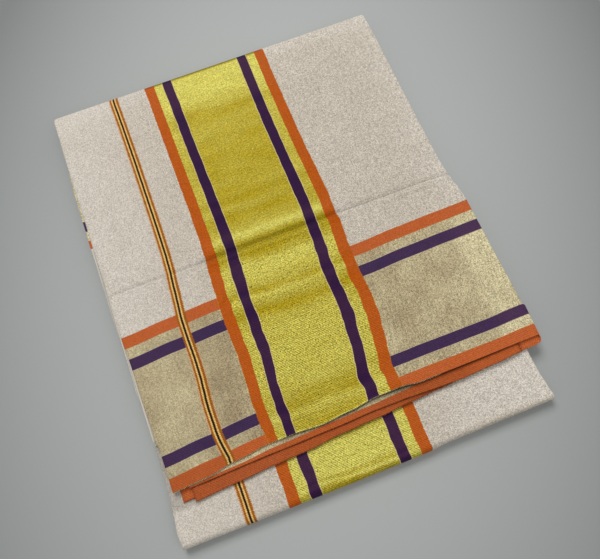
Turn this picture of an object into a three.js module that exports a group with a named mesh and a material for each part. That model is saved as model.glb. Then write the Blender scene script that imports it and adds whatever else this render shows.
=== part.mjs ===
// A saree folded flat into a packet, as it is kept on a shelf.
//
// The cloth is one woven length. It is folded lengthwise in many plies, then folded in
// half across its width, and in half again. What shows is the outermost ply and a few
// selvages that lie staggered along the front. Each stretch of cloth that shows is a
// thin wall, and the plies that nobody sees share one rounded heart with layered edges.
//
// Millimetres. +X runs along the saree's length, +Y from the front fold to the back
// fold, +Z up. The origin is under the middle of the packet, on the table.

import * as THREE from 'three';

// ---- driving dimensions ----

const WALL = 1.0;                       // thickness of a cloth wall
const SEAM = 0.3;                       // clearance between two plies
const PLY = WALL + SEAM;
const ROLL_RADIUS = WALL + SEAM / 2;    // outer radius where a ply turns back under itself
const RETURN_LENGTH = 14;               // how far a turned-back ply runs under

const PACKET_HEIGHT = 16.0;             // table to top ply at the back fold
const LOWER_HEIGHT = 8.4;               // table to the top of the lower packet at the front
const STRIP_TOP = 13.6;                 // height of the top ply where the selvages lie

const BACK_FOLD_CENTRE = 152.3;         // Y of the back fold's axis
const FRONT_FOLD_CENTRE = -156.4;       // Y of the front fold's axis
const STRIPS_BACK_END = -95;            // Y where the short selvage plies end, unseen
const UNDER_SEAM = 0;                   // Y where the two walls of the underside meet

// The tables below are measured from a mark near the middle of the packet. This is
// where the true middle of the whole outline lies from that mark.
const MIDDLE = { x: 3.2, y: -0.2 };

const COLOURS = {
  cream: '#cdc2b6',
  borderOrange: '#c8642f',
  heart: '#c4b9ab',
};

// ---- outline tables ----

// The top ply at rest: its outer face's height, and its left and right edges.
const TOP_ROWS = [
  { y: -118, height: STRIP_TOP, left: -121.0, right: 133.6 },
  { y: -95, height: STRIP_TOP, left: -122.0, right: 132.2 },
  { y: -50, height: 14.6, left: -122.9, right: 130.7 },
  { y: -15, height: 15.2, left: -124.1, right: 130.0 },
  { y: -5, height: 15.3, left: -124.2, right: 128.9 },
  { y: 2, height: 15.35, left: -124.3, right: 127.3 },
  { y: 8, height: 15.4, left: -124.4, right: 126.3 },
  { y: 20, height: 15.6, left: -124.6, right: 125.2 },
  { y: 60, height: 15.8, left: -125.2, right: 124.4 },
  { y: 100, height: 15.95, left: -126.0, right: 124.0 },
  { y: 130, height: PACKET_HEIGHT, left: -126.3, right: 124.0 },
  { y: 152.3, height: PACKET_HEIGHT, left: -126.7, right: 123.8 },
];

// Soft troughs and ridges that run across the top ply. The first pair is the crease
// left by an earlier folding in half. width is from the middle to where it has faded.
const TOP_FOLDS = [
  { y: 9.0, rise: -0.75, width: 3.2, from: -125, to: 125 },
  { y: 5.0, rise: 0.35, width: 3.6, from: -60, to: 125 },
  { y: 2.2, rise: -0.3, width: 2.6, from: 75, to: 130 },
  { y: 16.0, rise: 0.25, width: 6, from: -60, to: 60 },
  { y: -24, rise: -0.4, width: 9, from: -60, to: 45 },
  { y: -34, rise: 0.25, width: 8, from: -60, to: 50 },
  { y: 58, rise: -0.35, width: 10, from: -52, to: 36 },
  { y: 82, rise: 0.2, width: 10, from: -48, to: 40 },
  { y: 104, rise: -0.3, width: 11, from: -50, to: 38 },
  { y: -82, rise: -0.3, width: 12, from: -10, to: 60 },
];
const FOLD_FADE = 14;                   // the ends of a trough or ridge fade over this

// Selvage edges, from left to right.
const TOP_SELVAGE = [
  { x: -121.0, y: -126.3 }, { x: -98.9, y: -125.2 }, { x: -79.2, y: -122.4 },
  { x: -54.6, y: -120.0 }, { x: -39.8, y: -119.9 }, { x: -20.1, y: -121.0 },
  { x: -0.4, y: -119.5 }, { x: 19.3, y: -117.3 }, { x: 35.1, y: -117.1 },
  { x: 48.9, y: -118.7 }, { x: 78.4, y: -118.7 }, { x: 134.0, y: -118.3 },
];
const SECOND_SELVAGE = [
  { x: -111.0, y: -127.3 }, { x: -49.7, y: -126.1 }, { x: -10.2, y: -125.6 },
  { x: 14.5, y: -124.8 }, { x: 29.3, y: -124.9 }, { x: 72.8, y: -126.3 },
  { x: 98.5, y: -125.3 }, { x: 118.3, y: -124.1 },
];
const THIRD_SELVAGE = [
  { x: -109.3, y: -136.0 }, { x: -79.6, y: -134.5 }, { x: -56.8, y: -133.2 },
  { x: -35.0, y: -132.5 }, { x: -10.0, y: -130.5 }, { x: 16.6, y: -129.5 },
  { x: 38.0, y: -128.0 }, { x: 59.3, y: -127.0 }, { x: 73.0, y: -126.0 },
  { x: 99.0, y: -124.6 }, { x: 130.0, y: -122.5 },
];
const FOURTH_SELVAGE = [
  { x: -116.8, y: -134.0 }, { x: -107.0, y: -133.8 }, { x: -56.8, y: -131.7 },
  { x: -10.0, y: -129.0 }, { x: 38.0, y: -126.5 }, { x: 73.0, y: -124.5 },
  { x: 128.0, y: -121.5 },
];
// Where the top ply's selvage runs round its right-hand turn, it drops to the second ply.
const TURNED_SELVAGE_Y = -123.0;
const RETURNED_SELVAGE_Y = -123.9;

// How far the free selvage of the top ply stands up from the ply below it.
const SELVAGE_LIFT = [
  { x: -121, lift: 0.0 }, { x: -60, lift: 0.15 }, { x: -20, lift: 0.35 },
  { x: 20, lift: 0.7 }, { x: 36, lift: 0.9 }, { x: 70, lift: 0.8 },
  { x: 105, lift: 0.5 }, { x: 128, lift: 0.0 },
];
const LIFT_REACH = 16;                  // how far back from the edge the lift has faded

// The lower packet's outer ply: its edges above the front fold, and the fold's line.
const LOWER_ROWS = [
  { y: -156.4, left: -126.0, right: 125.6 },
  { y: -150, left: -126.4, right: 124.6 },
  { y: -140, left: -125.5, right: 123.5 },
  { y: -125, left: -124.5, right: 123.0 },
  { y: -95, left: -124.3, right: 123.0 },
];
const FRONT_FOLD_LINE = [
  { x: -126, out: -0.4 }, { x: -60, out: 0.0 }, { x: 20, out: 0.1 },
  { x: 36, out: 0.0 }, { x: 52, out: -1.0 }, { x: 126, out: -1.3 },
];

// An inner ply's cut end at the left, just below the top ply.
const INNER_END_LEFT = [
  { y: -94, left: -123.8 }, { y: -50, left: -124.8 }, { y: 0, left: -126.0 },
  { y: 60, left: -127.0 }, { y: 90, left: -127.2 }, { y: 118, left: -126.4 },
  { y: 151, left: -125.0 },
];
const INNER_END_RIGHT = -95;            // X where that ply stops, unseen

// The heart's sides, for the lower and the upper half of the plies.
const HEART_ROWS = [
  { y: -156.4, lowLeft: -124.5, lowRight: 123.4, highLeft: -124.5, highRight: 123.4 },
  { y: -125, lowLeft: -123.6, lowRight: 121.2, highLeft: -123.6, highRight: 121.2 },
  { y: -95, lowLeft: -124.2, lowRight: 121.8, highLeft: -122.4, highRight: 130.4 },
  { y: -50, lowLeft: -125.2, lowRight: 122.4, highLeft: -123.4, highRight: 128.9 },
  { y: -12, lowLeft: -125.6, lowRight: 122.6, highLeft: -124.4, highRight: 128.0 },
  { y: 6, lowLeft: -125.8, lowRight: 122.6, highLeft: -124.8, highRight: 124.4 },
  { y: 60, lowLeft: -126.0, lowRight: 122.6, highLeft: -125.6, highRight: 122.6 },
  { y: 110, lowLeft: -125.6, lowRight: 122.4, highLeft: -125.4, highRight: 122.4 },
  { y: 152.3, lowLeft: -125.2, lowRight: 122.0, highLeft: -125.2, highRight: 122.0 },
];
const HEART_LAYERS = 8;                 // ridges on each side
const LAYER_GROOVE = 1.3;               // depth of the grooves between them
const RIDGE = [                         // one ridge: share of its height, and groove depth
  { share: 0.0, groove: 1 }, { share: 0.3, groove: 0 }, { share: 0.75, groove: 0 },
];
const HALF_WAY = { from: 0.35, to: 0.65 };  // where the sides go from lower to upper plies
const LAYER_STAGGER = [0.0, -0.7, 0.2, -0.4, -0.9, -0.1, -0.6, -0.2];
const FRONT_NOSE = 0.3;                 // how far the heart reaches into each fold
const BACK_NOSE = 5.0;
const STEP = 0.01;                      // the width of an upright step in a ring or a row

// ---- where rows and columns are laid ----

const BODY_STATIONS = [
  -95, -84, -70, -55, -42, -34, -28, -22, -15, -7, -2, 1, 3, 5, 7, 9, 11, 13, 17, 25,
  37, 50, 62, 76, 90, 104, 118, 132, 144, BACK_FOLD_CENTRE,
];
const EDGE_FRACTIONS = [0, 0.12, 0.3, 0.6];
const FLAT_COLUMNS = 15;
const ROLL_STEPS = 4;
const FOLD_STEPS = 8;
const UNDER_STEPS = 4;

// ---- helpers ----

const mix = (a, b, t) => a + (b - a) * t;
const ease = (t) => t * t * (3 - 2 * t);
const steps = (count) => Array.from({ length: count + 1 }, (_, i) => i / count);

// Reads one named column of a table at a place along its first column, softly.
function follow(table, along, column, at) {
  if (at <= table[0][along]) return table[0][column];
  const last = table[table.length - 1];
  if (at >= last[along]) return last[column];
  const next = table.findIndex((row) => row[along] > at);
  const a = table[next - 1];
  const b = table[next];
  return mix(a[column], b[column], ease((at - a[along]) / (b[along] - a[along])));
}

// One soft trough or ridge, 1 at its middle and 0 where it has faded.
function bump(distance, width) {
  const t = Math.min(Math.abs(distance) / width, 1);
  return 0.5 + 0.5 * Math.cos(Math.PI * t);
}

// Full strength between two places, fading over a margin just inside them.
function between(at, from, to) {
  const rise = THREE.MathUtils.clamp((at - from) / FOLD_FADE, 0, 1);
  const fall = THREE.MathUtils.clamp((to - at) / FOLD_FADE, 0, 1);
  return ease(Math.min(rise, fall));
}

// Height of the packet's top face above the table.
function topHeight(x, y) {
  let height = follow(TOP_ROWS, 'y', 'height', y);
  for (const fold of TOP_FOLDS) {
    height += fold.rise * bump(y - fold.y, fold.width) * between(x, fold.from, fold.to);
  }
  return height;
}

// The lowest that the top face gets at this distance from the front.
function lowestTop(y) {
  const left = follow(TOP_ROWS, 'y', 'left', y);
  const right = follow(TOP_ROWS, 'y', 'right', y);
  const heights = steps(FLAT_COLUMNS).map((t) => topHeight(mix(left, right, t), y));
  return Math.min(...heights);
}

// Makes one closed body from a grid of places. place(row, column, side) gives the outer
// face for side 0 and the inner face for side 1.
function sheetWall(rows, columns, place) {
  const positions = [];
  for (const side of [0, 1]) {
    for (const row of rows) {
      for (const column of columns) {
        const p = place(row, column, side);
        positions.push(p.x - MIDDLE.x, p.y - MIDDLE.y, p.z);
      }
    }
  }
  const across = columns.length;
  const faceSize = rows.length * across;
  const index = [];
  const quad = (a, b, c, d) => index.push(a, b, c, a, c, d);
  const at = (side, r, c) => side * faceSize + r * across + c;
  for (let r = 0; r + 1 < rows.length; r += 1) {
    for (let c = 0; c + 1 < across; c += 1) {
      quad(at(0, r, c), at(0, r, c + 1), at(0, r + 1, c + 1), at(0, r + 1, c));
      quad(at(1, r, c), at(1, r + 1, c), at(1, r + 1, c + 1), at(1, r, c + 1));
    }
  }
  const end = rows.length - 1;
  for (let c = 0; c + 1 < across; c += 1) {
    quad(at(0, 0, c + 1), at(0, 0, c), at(1, 0, c), at(1, 0, c + 1));
    quad(at(0, end, c), at(0, end, c + 1), at(1, end, c + 1), at(1, end, c));
  }
  const far = across - 1;
  for (let r = 0; r < end; r += 1) {
    quad(at(0, r, 0), at(0, r + 1, 0), at(1, r + 1, 0), at(1, r, 0));
    quad(at(0, r + 1, far), at(0, r, far), at(1, r, far), at(1, r + 1, far));
  }
  return bodyFrom(positions, index);
}

function bodyFrom(positions, index) {
  const geometry = new THREE.BufferGeometry();
  geometry.setAttribute('position', new THREE.Float32BufferAttribute(positions, 3));
  geometry.setIndex(index);
  geometry.computeVertexNormals();
  return geometry;
}

function piece(name, geometry, colour) {
  const material = new THREE.MeshStandardMaterial({ color: colour, roughness: 0.75, metalness: 0.0 });
  const mesh = new THREE.Mesh(geometry, material);
  mesh.name = name;
  return mesh;
}

// ---- a ply whose right-hand edge turns back under itself ----

// Columns of the ply's own section: the flat stretch, the turn, the stretch that returns.
function turnedColumns() {
  return [
    ...steps(FLAT_COLUMNS).map((t) => ({ part: 'flat', t })),
    ...steps(ROLL_STEPS).slice(1).map((t) => ({ part: 'turn', t })),
    { part: 'return', t: 1 },
  ];
}

// Where a column lies across the packet, and how deep below the packet's outer face.
function turnedSection(column, side, left, right) {
  const turnAxis = right - ROLL_RADIUS;
  if (column.part === 'flat') {
    return { x: mix(left, turnAxis, column.t), depth: side * WALL };
  }
  if (column.part === 'turn') {
    const radius = ROLL_RADIUS - side * WALL;
    const angle = Math.PI * column.t;
    return {
      x: turnAxis + radius * Math.sin(angle),
      depth: ROLL_RADIUS - radius * Math.cos(angle),
    };
  }
  return { x: turnAxis - RETURN_LENGTH * column.t, depth: 2 * WALL + SEAM - side * WALL };
}

// ---- top ply ----

function topSelvageY(column, x) {
  const atTurn = follow(TOP_SELVAGE, 'x', 'y', x);
  if (column.part === 'flat') return atTurn;
  if (column.part === 'turn') return mix(atTurn, TURNED_SELVAGE_Y, ease(column.t));
  return RETURNED_SELVAGE_Y;
}

function topPly() {
  const rows = [
    ...EDGE_FRACTIONS.map((fraction) => ({ zone: 'edge', fraction })),
    ...BODY_STATIONS.map((y) => ({ zone: 'body', y })),
    ...steps(FOLD_STEPS).slice(1).map((t) => ({ zone: 'fold', angle: Math.PI * t })),
    ...steps(UNDER_STEPS).slice(1).map((t) => (
      { zone: 'under', y: mix(BACK_FOLD_CENTRE, UNDER_SEAM + SEAM / 2, t) })),
  ];
  const place = (row, column, side) => {
    const outlineYs = { edge: TOP_ROWS[0].y, body: row.y };
    const outlineY = outlineYs[row.zone] ?? BACK_FOLD_CENTRE;
    const left = follow(TOP_ROWS, 'y', 'left', outlineY);
    const right = follow(TOP_ROWS, 'y', 'right', outlineY);
    const { x, depth } = turnedSection(column, side, left, right);
    if (row.zone === 'edge') {
      const selvage = topSelvageY(column, x);
      const y = mix(selvage, STRIPS_BACK_END, row.fraction);
      const faded = bump(y - selvage, LIFT_REACH);
      const lift = column.part === 'flat' ? follow(SELVAGE_LIFT, 'x', 'lift', x) * faded : 0;
      return { x, y, z: topHeight(x, y) - depth + lift };
    }
    if (row.zone === 'body') return { x, y: row.y, z: topHeight(x, row.y) - depth };
    const foldRadius = PACKET_HEIGHT / 2;
    if (row.zone === 'fold') {
      return {
        x,
        y: BACK_FOLD_CENTRE + (foldRadius - depth) * Math.sin(row.angle),
        z: foldRadius + (foldRadius - depth) * Math.cos(row.angle),
      };
    }
    return { x, y: row.y, z: depth };
  };
  return piece('top_ply', sheetWall(rows, turnedColumns(), place), COLOURS.cream);
}

// ---- short plies whose selvages show along the front ----

function selvagePly(name, selvage, plyNumber, rightEnd = selvage[selvage.length - 1].x) {
  const left = selvage[0].x;
  const columns = steps(FLAT_COLUMNS).map((t) => mix(left, rightEnd, t));
  const rows = [0, 0.35, 1];
  const top = STRIP_TOP - plyNumber * PLY;
  const place = (fraction, x, side) => ({
    x,
    y: mix(follow(selvage, 'x', 'y', x), STRIPS_BACK_END - SEAM, fraction),
    z: top - side * WALL,
  });
  return piece(name, sheetWall(rows, columns, place), COLOURS.borderOrange);
}

// ---- outer ply of the lower packet, round the front fold ----

function frontFoldPly() {
  const rows = [
    ...steps(UNDER_STEPS).map((t) => (
      { zone: 'under', y: mix(UNDER_SEAM - SEAM / 2, FRONT_FOLD_CENTRE, t) })),
    ...steps(FOLD_STEPS).slice(1).map((t) => ({ zone: 'fold', angle: Math.PI * t })),
    ...[-150, -142, -134, -125, -110, STRIPS_BACK_END - SEAM].map((y) => ({ zone: 'top', y })),
  ];
  const foldRadius = LOWER_HEIGHT / 2;
  const place = (row, column, side) => {
    const outlineY = row.zone === 'top' ? row.y : FRONT_FOLD_CENTRE;
    const left = follow(LOWER_ROWS, 'y', 'left', outlineY);
    const right = follow(LOWER_ROWS, 'y', 'right', outlineY);
    const { x, depth } = turnedSection(column, side, left, right);
    if (row.zone === 'top') return { x, y: row.y, z: LOWER_HEIGHT - depth };
    if (row.zone === 'under') return { x, y: row.y, z: depth };
    const out = follow(FRONT_FOLD_LINE, 'x', 'out', x);
    const reach = foldRadius - depth;
    return {
      x,
      y: FRONT_FOLD_CENTRE - (reach + out) * Math.sin(row.angle),
      z: foldRadius - reach * Math.cos(row.angle),
    };
  };
  return piece('front_fold_ply', sheetWall(rows, turnedColumns(), place), COLOURS.cream);
}

// ---- the inner ply whose cut end peeks out at the left ----

function innerEndPly() {
  const front = INNER_END_LEFT[0].y;
  const back = INNER_END_LEFT[INNER_END_LEFT.length - 1].y;
  const rows = [front, ...BODY_STATIONS.filter((y) => y > front && y < back), back];
  const columns = [0, 0.4, 1];
  const place = (y, t, side) => ({
    x: mix(follow(INNER_END_LEFT, 'y', 'left', y), INNER_END_RIGHT, t),
    y,
    z: lowestTop(y) - PLY - side * WALL,
  });
  return piece('inner_end_ply', sheetWall(rows, columns, place), COLOURS.cream);
}

// ---- the heart ----

// One ring of the heart's outline across X, from the bottom left, clockwise from the front.
function heartRing(y, bottom, top) {
  const side = (q, which) => {
    const low = follow(HEART_ROWS, 'y', `low${which}`, y);
    const high = follow(HEART_ROWS, 'y', `high${which}`, y);
    const t = (q - HALF_WAY.from) / (HALF_WAY.to - HALF_WAY.from);
    return mix(low, high, ease(THREE.MathUtils.clamp(t, 0, 1)));
  };
  const ridges = (which, inward, low, high) => {
    const points = [];
    for (let layer = 0; layer < HEART_LAYERS; layer += 1) {
      for (const { share, groove } of RIDGE) {
        const q = (layer + share) / HEART_LAYERS;
        const stagger = LAYER_STAGGER[layer] * -inward;
        const out = side(q, which) + stagger + inward * groove * LAYER_GROOVE;
        points.push({ x: out, y, z: mix(low, high, q) });
      }
    }
    points.push({ x: side(1, which) + inward * LAYER_GROOVE, y, z: high });
    return points;
  };
  const leftNotch = INNER_END_RIGHT + SEAM;
  const turned = y > STRIPS_BACK_END ? 'highRight' : 'lowRight';
  const rightNotch = follow(HEART_ROWS, 'y', turned, y) - RETURN_LENGTH - 2 * SEAM;
  const lowNotch = follow(HEART_ROWS, 'y', 'lowRight', y) - RETURN_LENGTH - 2 * SEAM;
  const left = ridges('Left', 1, bottom.plain, top.left);
  const right = ridges('Right', -1, bottom.turned, top.turned).reverse();
  return [
    ...left,
    { x: leftNotch, y, z: top.left },
    { x: leftNotch + STEP, y, z: top.plain },
    { x: rightNotch - STEP, y, z: top.plain },
    { x: rightNotch, y, z: top.turned },
    ...right,
    { x: lowNotch, y, z: bottom.turned },
    { x: lowNotch - STEP, y, z: bottom.plain },
  ];
}

// Top and bottom of the heart inside a fold of a given radius, at a distance from its axis.
function insideFold(radius, distance) {
  const half = (depth) => Math.sqrt((radius - depth) ** 2 - distance ** 2);
  const plain = half(PLY);
  const turned = half(2 * PLY);
  return {
    bottom: { plain: radius - plain, turned: radius - turned },
    top: { left: radius + plain, plain: radius + plain, turned: radius + turned },
  };
}

function heartRings() {
  const flatBottom = { plain: PLY, turned: 2 * PLY };
  const rings = [];
  for (const reach of [FRONT_NOSE, 0]) {
    const { bottom, top } = insideFold(LOWER_HEIGHT / 2, reach);
    rings.push(heartRing(FRONT_FOLD_CENTRE - reach, bottom, top));
  }
  const lowTop = { left: LOWER_HEIGHT - PLY, plain: LOWER_HEIGHT - PLY, turned: LOWER_HEIGHT - 2 * PLY };
  for (const y of [-140, -125, -110, STRIPS_BACK_END]) {
    rings.push(heartRing(y, flatBottom, lowTop));
  }
  for (const station of BODY_STATIONS) {
    const y = station === STRIPS_BACK_END ? STRIPS_BACK_END + STEP : station;
    const under = lowestTop(y) - PLY;
    rings.push(heartRing(y, flatBottom, { left: under - PLY, plain: under, turned: under - PLY }));
  }
  for (const t of [0.5, 0.8, 1]) {
    const reach = BACK_NOSE * t;
    const { bottom, top } = insideFold(PACKET_HEIGHT / 2, reach);
    const y = BACK_FOLD_CENTRE + reach;
    rings.push(heartRing(y, bottom, { ...top, left: top.turned }));
  }
  return rings;
}

function foldedHeart() {
  const rings = heartRings();
  const size = rings[0].length;
  const positions = rings.flat().flatMap((p) => [p.x - MIDDLE.x, p.y - MIDDLE.y, p.z]);
  const index = [];
  for (let r = 0; r + 1 < rings.length; r += 1) {
    for (let c = 0; c < size; c += 1) {
      const next = (c + 1) % size;
      const a = r * size + c;
      const b = r * size + next;
      index.push(a, b, a + size, b, b + size, a + size);
    }
  }
  for (const [ring, facing] of [[0, 1], [rings.length - 1, -1]]) {
    const base = ring * size;
    const outline = rings[ring].map((p) => new THREE.Vector2(p.x, p.z));
    for (const [a, b, c] of THREE.ShapeUtils.triangulateShape(outline, [])) {
      const turn = THREE.ShapeUtils.area([outline[a], outline[b], outline[c]]);
      if (turn * facing > 0) index.push(base + a, base + b, base + c);
      else index.push(base + a, base + c, base + b);
    }
  }
  return piece('folded_heart', bodyFrom(positions, index), COLOURS.heart);
}

// ---- the packet ----

const turnAtStrips = follow(TOP_ROWS, 'y', 'right', STRIPS_BACK_END) - ROLL_RADIUS;
const secondEnd = turnAtStrips - RETURN_LENGTH - SEAM;

const saree = new THREE.Group();
saree.add(foldedHeart());
saree.add(frontFoldPly());
saree.add(selvagePly('fourth_ply', FOURTH_SELVAGE, 3));
saree.add(selvagePly('third_ply', THIRD_SELVAGE, 2));
saree.add(selvagePly('second_ply', SECOND_SELVAGE, 1, secondEnd));
saree.add(innerEndPly());
saree.add(topPly());

export default saree;
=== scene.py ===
# %% [markdown]
# # A saree folded into a packet
# A saree is one length of cloth, about six metres long and well over a metre wide. It is
# kept folded: lengthwise in many plies, then in half across its width, and in half again.
# This file dresses the packet's solids, ply by ply: each stretch of cloth that shows is a
# thin shell, with its weave, stripes and glitter worked out from the cloth's own
# coordinates, so the pattern follows the cloth round every fold.

import math

import bpy
from mathutils import Matrix, Vector, noise


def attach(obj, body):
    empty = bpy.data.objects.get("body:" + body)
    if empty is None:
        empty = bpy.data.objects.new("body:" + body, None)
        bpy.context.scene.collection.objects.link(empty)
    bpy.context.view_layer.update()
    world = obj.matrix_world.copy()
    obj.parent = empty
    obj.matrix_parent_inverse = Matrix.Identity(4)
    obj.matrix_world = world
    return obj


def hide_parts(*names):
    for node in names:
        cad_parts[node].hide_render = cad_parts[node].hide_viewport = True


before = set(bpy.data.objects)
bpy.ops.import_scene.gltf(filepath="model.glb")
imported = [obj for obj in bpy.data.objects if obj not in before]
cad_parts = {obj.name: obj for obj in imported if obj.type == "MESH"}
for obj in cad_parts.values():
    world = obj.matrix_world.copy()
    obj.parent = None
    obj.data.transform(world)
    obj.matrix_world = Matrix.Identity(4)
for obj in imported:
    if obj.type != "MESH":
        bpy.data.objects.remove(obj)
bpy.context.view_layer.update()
print("solids:", sorted(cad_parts))

# %% [markdown]
# ## Sizes
# The numbers are in millimetres, because cloth is thought of in millimetres, and a point
# is turned into metres only when it becomes a vertex. `MIDDLE` is where the middle of the
# whole outline lies from the mark that the tables are measured from. `table` gives the
# columns of a table their names. The rows are listed one by one.

# %% Driving sizes
def table(columns, *rows):
    """One dictionary for each row, with the names of the columns as its keys."""
    return [dict(zip(columns.split(), row)) for row in rows]


MM = 0.001
MIDDLE = Vector((3.2, -0.2, 0.0))
CLOTH = 0.45                    # thickness of one ply's shell
WALL = 1.0                      # thickness of the solid that a shell lies in
SEAM = 0.3
PLY = WALL + SEAM
TURN_RADIUS = WALL + SEAM / 2
RETURN_LENGTH = 13.9
PACKET_HEIGHT = 16.0
LOWER_HEIGHT = 8.4
STRIP_TOP = 13.6
BACK_FOLD_Y = 152.3
FRONT_FOLD_Y = -156.4
STRIPS_BACK_Y = -95.0

TOP_ROWS = table(
    "y height left right",
    (-118, STRIP_TOP, -121.0, 133.6), (-95, STRIP_TOP, -122.0, 132.2), (-50, 14.6, -122.9, 130.7),
    (-15, 15.2, -124.1, 130.0), (-5, 15.3, -124.2, 128.9), (2, 15.35, -124.3, 127.3),
    (8, 15.4, -124.4, 126.3), (20, 15.6, -124.6, 125.2), (60, 15.8, -125.2, 124.4),
    (100, 15.95, -126.0, 124.0), (130, PACKET_HEIGHT, -126.3, 124.0),
    (BACK_FOLD_Y, PACKET_HEIGHT, -126.7, 123.8))
TOP_SELVAGE = table(
    "x y",
    (-121.0, -126.3), (-98.9, -125.2), (-79.2, -122.4), (-54.6, -120.0), (-39.8, -119.9),
    (-20.1, -121.0), (-0.4, -119.5), (19.3, -117.3), (35.1, -117.1), (48.9, -118.7),
    (78.4, -118.7), (134.0, -118.3))
SECOND_SELVAGE = table(
    "x y",
    (-111.0, -127.3), (-49.7, -126.1), (-10.2, -125.6), (14.5, -124.8), (29.3, -124.9),
    (72.8, -126.3), (98.5, -125.3), (118.3, -124.1))
THIRD_SELVAGE = table(
    "x y",
    (-109.3, -136.0), (-79.6, -134.5), (-56.8, -133.2), (-35.0, -132.5), (-10.0, -130.5),
    (16.6, -129.5), (38.0, -128.0), (59.3, -127.0), (73.0, -126.0), (99.0, -124.6),
    (130.0, -122.5))
FOURTH_SELVAGE = table(
    "x y",
    (-116.8, -134.0), (-107.0, -133.8), (-56.8, -131.7), (-10.0, -129.0), (38.0, -126.5),
    (73.0, -124.5), (128.0, -121.5))
LOWER_ROWS = table(
    "y left right",
    (FRONT_FOLD_Y, -126.0, 125.6), (-150, -126.4, 124.6), (-140, -125.5, 123.5),
    (-125, -124.5, 123.0), (STRIPS_BACK_Y, -124.3, 123.0))
FRONT_FOLD_LINE = table(
    "x out",
    (-126, -0.4), (-60, 0.0), (20, 0.1), (36, 0.0), (52, -1.0), (126, -1.3))
INNER_END_LEFT = table(
    "y left",
    (-94, -123.8), (-50, -124.8), (0, -126.0), (60, -127.0), (90, -127.2), (118, -126.4),
    (151, -125.0))
TURNED_SELVAGE_Y = -123.0
RETURNED_SELVAGE_Y = -123.9

# %% [markdown]
# ## Small tools for shapes
# `follow` reads a table along its first column and eases from one row to the next. `bump`
# is a soft trough or ridge. `between` keeps a trough inside a stretch of the cloth.

# %% Tools that read tables and shape folds
def mix(a, b, t):
    return a + (b - a) * t


def clamp(t):
    return min(max(t, 0.0), 1.0)


def ease(t):
    t = clamp(t)
    return t * t * (3 - 2 * t)


def steps(count):
    return [i / count for i in range(count + 1)]


def follow(rows, column, at, straight=False):
    """One column of a table, read at a place along its first column."""
    along = next(iter(rows[0]))
    if at <= rows[0][along]:
        return rows[0][column]
    for a, b in zip(rows, rows[1:]):
        if at <= b[along]:
            t = (at - a[along]) / (b[along] - a[along])
            return mix(a[column], b[column], t if straight else ease(t))
    return rows[-1][column]


def sides(rows, at):
    return follow(rows, "left", at), follow(rows, "right", at)


def bump(distance, width):
    """1 in the middle of a fold, fading to 0 at its width."""
    return 0.5 + 0.5 * math.cos(math.pi * min(abs(distance) / width, 1.0))


def between(at, start, end, margin=14.0):
    return ease(min((at - start) / margin, (end - at) / margin))


def rough(x, y, size, seed):
    """Smooth unevenness from -1 to 1, the same on every run."""
    return noise.noise(Vector((x / size, y / size, seed)))


print("right edge at the front, mm:", follow(TOP_ROWS, "right", FRONT_FOLD_Y))

# %% [markdown]
# ## The relief of the top ply
# The big troughs and ridges are the ones that the solid has too. On top of them come the
# small signs of wear: the sharp line that a crease leaves, the cockling of the metallic
# weft bands, and puckers along the purple bands, whose yarn shrank a little. Near the back
# fold the plies are pressed down, so the cloth there leans back a few degrees.

# %% Creases, cockles and puckers
TOP_FOLDS = table(
    "y rise width start end",
    (8.6, -0.75, 2.9, -58, 44), (8.4, -0.34, 2.0, -125, -50), (8.8, -0.40, 2.2, 36, 130),
    (4.6, 0.30, 3.2, -60, 125), (2.2, -0.25, 2.6, 75, 130), (15.5, 0.35, 6, -60, 60),
    (-24, -0.42, 5.5, -56, 45), (-29.5, 0.28, 4.5, -56, 50), (-38.5, -0.36, 6, -40, 40),
    (58, -0.30, 10, -52, 36), (82, 0.20, 10, -48, 40), (104, 0.25, 9, -50, 38),
    (-82, -0.25, 12, -10, 60))
COCKLES = table(
    "y rise width start end",
    (118, -0.16, 5, -50, 20), (92, -0.16, 4.5, -46, 20), (74, 0.15, 4.5, -50, 30),
    (66, -0.13, 3.5, -30, 36), (50, 0.16, 3.5, -52, 30), (44, -0.20, 3.5, -52, 36),
    (38, 0.18, 3.5, -44, 30), (32, -0.20, 3.5, -50, 36), (25.5, 0.12, 3, -20, 36),
    (-13, 0.12, 5, -46, 30), (-46, 0.12, 4, -30, 40), (-58, 0.12, 5, -50, 10),
    (-92, -0.14, 4, -50, 20), (-99, -0.22, 3.6, -40, 36), (-105, -0.20, 3.5, -30, 40),
    (-109.5, 0.26, 3.5, -34, 38), (-114, -0.16, 3, -40, 20))
PUCKER_PITCH = 8.7
PUCKER_RISE = 0.16
BACK_LEAN_FROM = 131.0
BACK_HEIGHT = 14.9              # height of the top ply where the back fold begins


def slant(x):
    """Cross ripples run a little askew."""
    return 0.02 * x + 1.2 * math.sin(x / 17 + 1.0)


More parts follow.
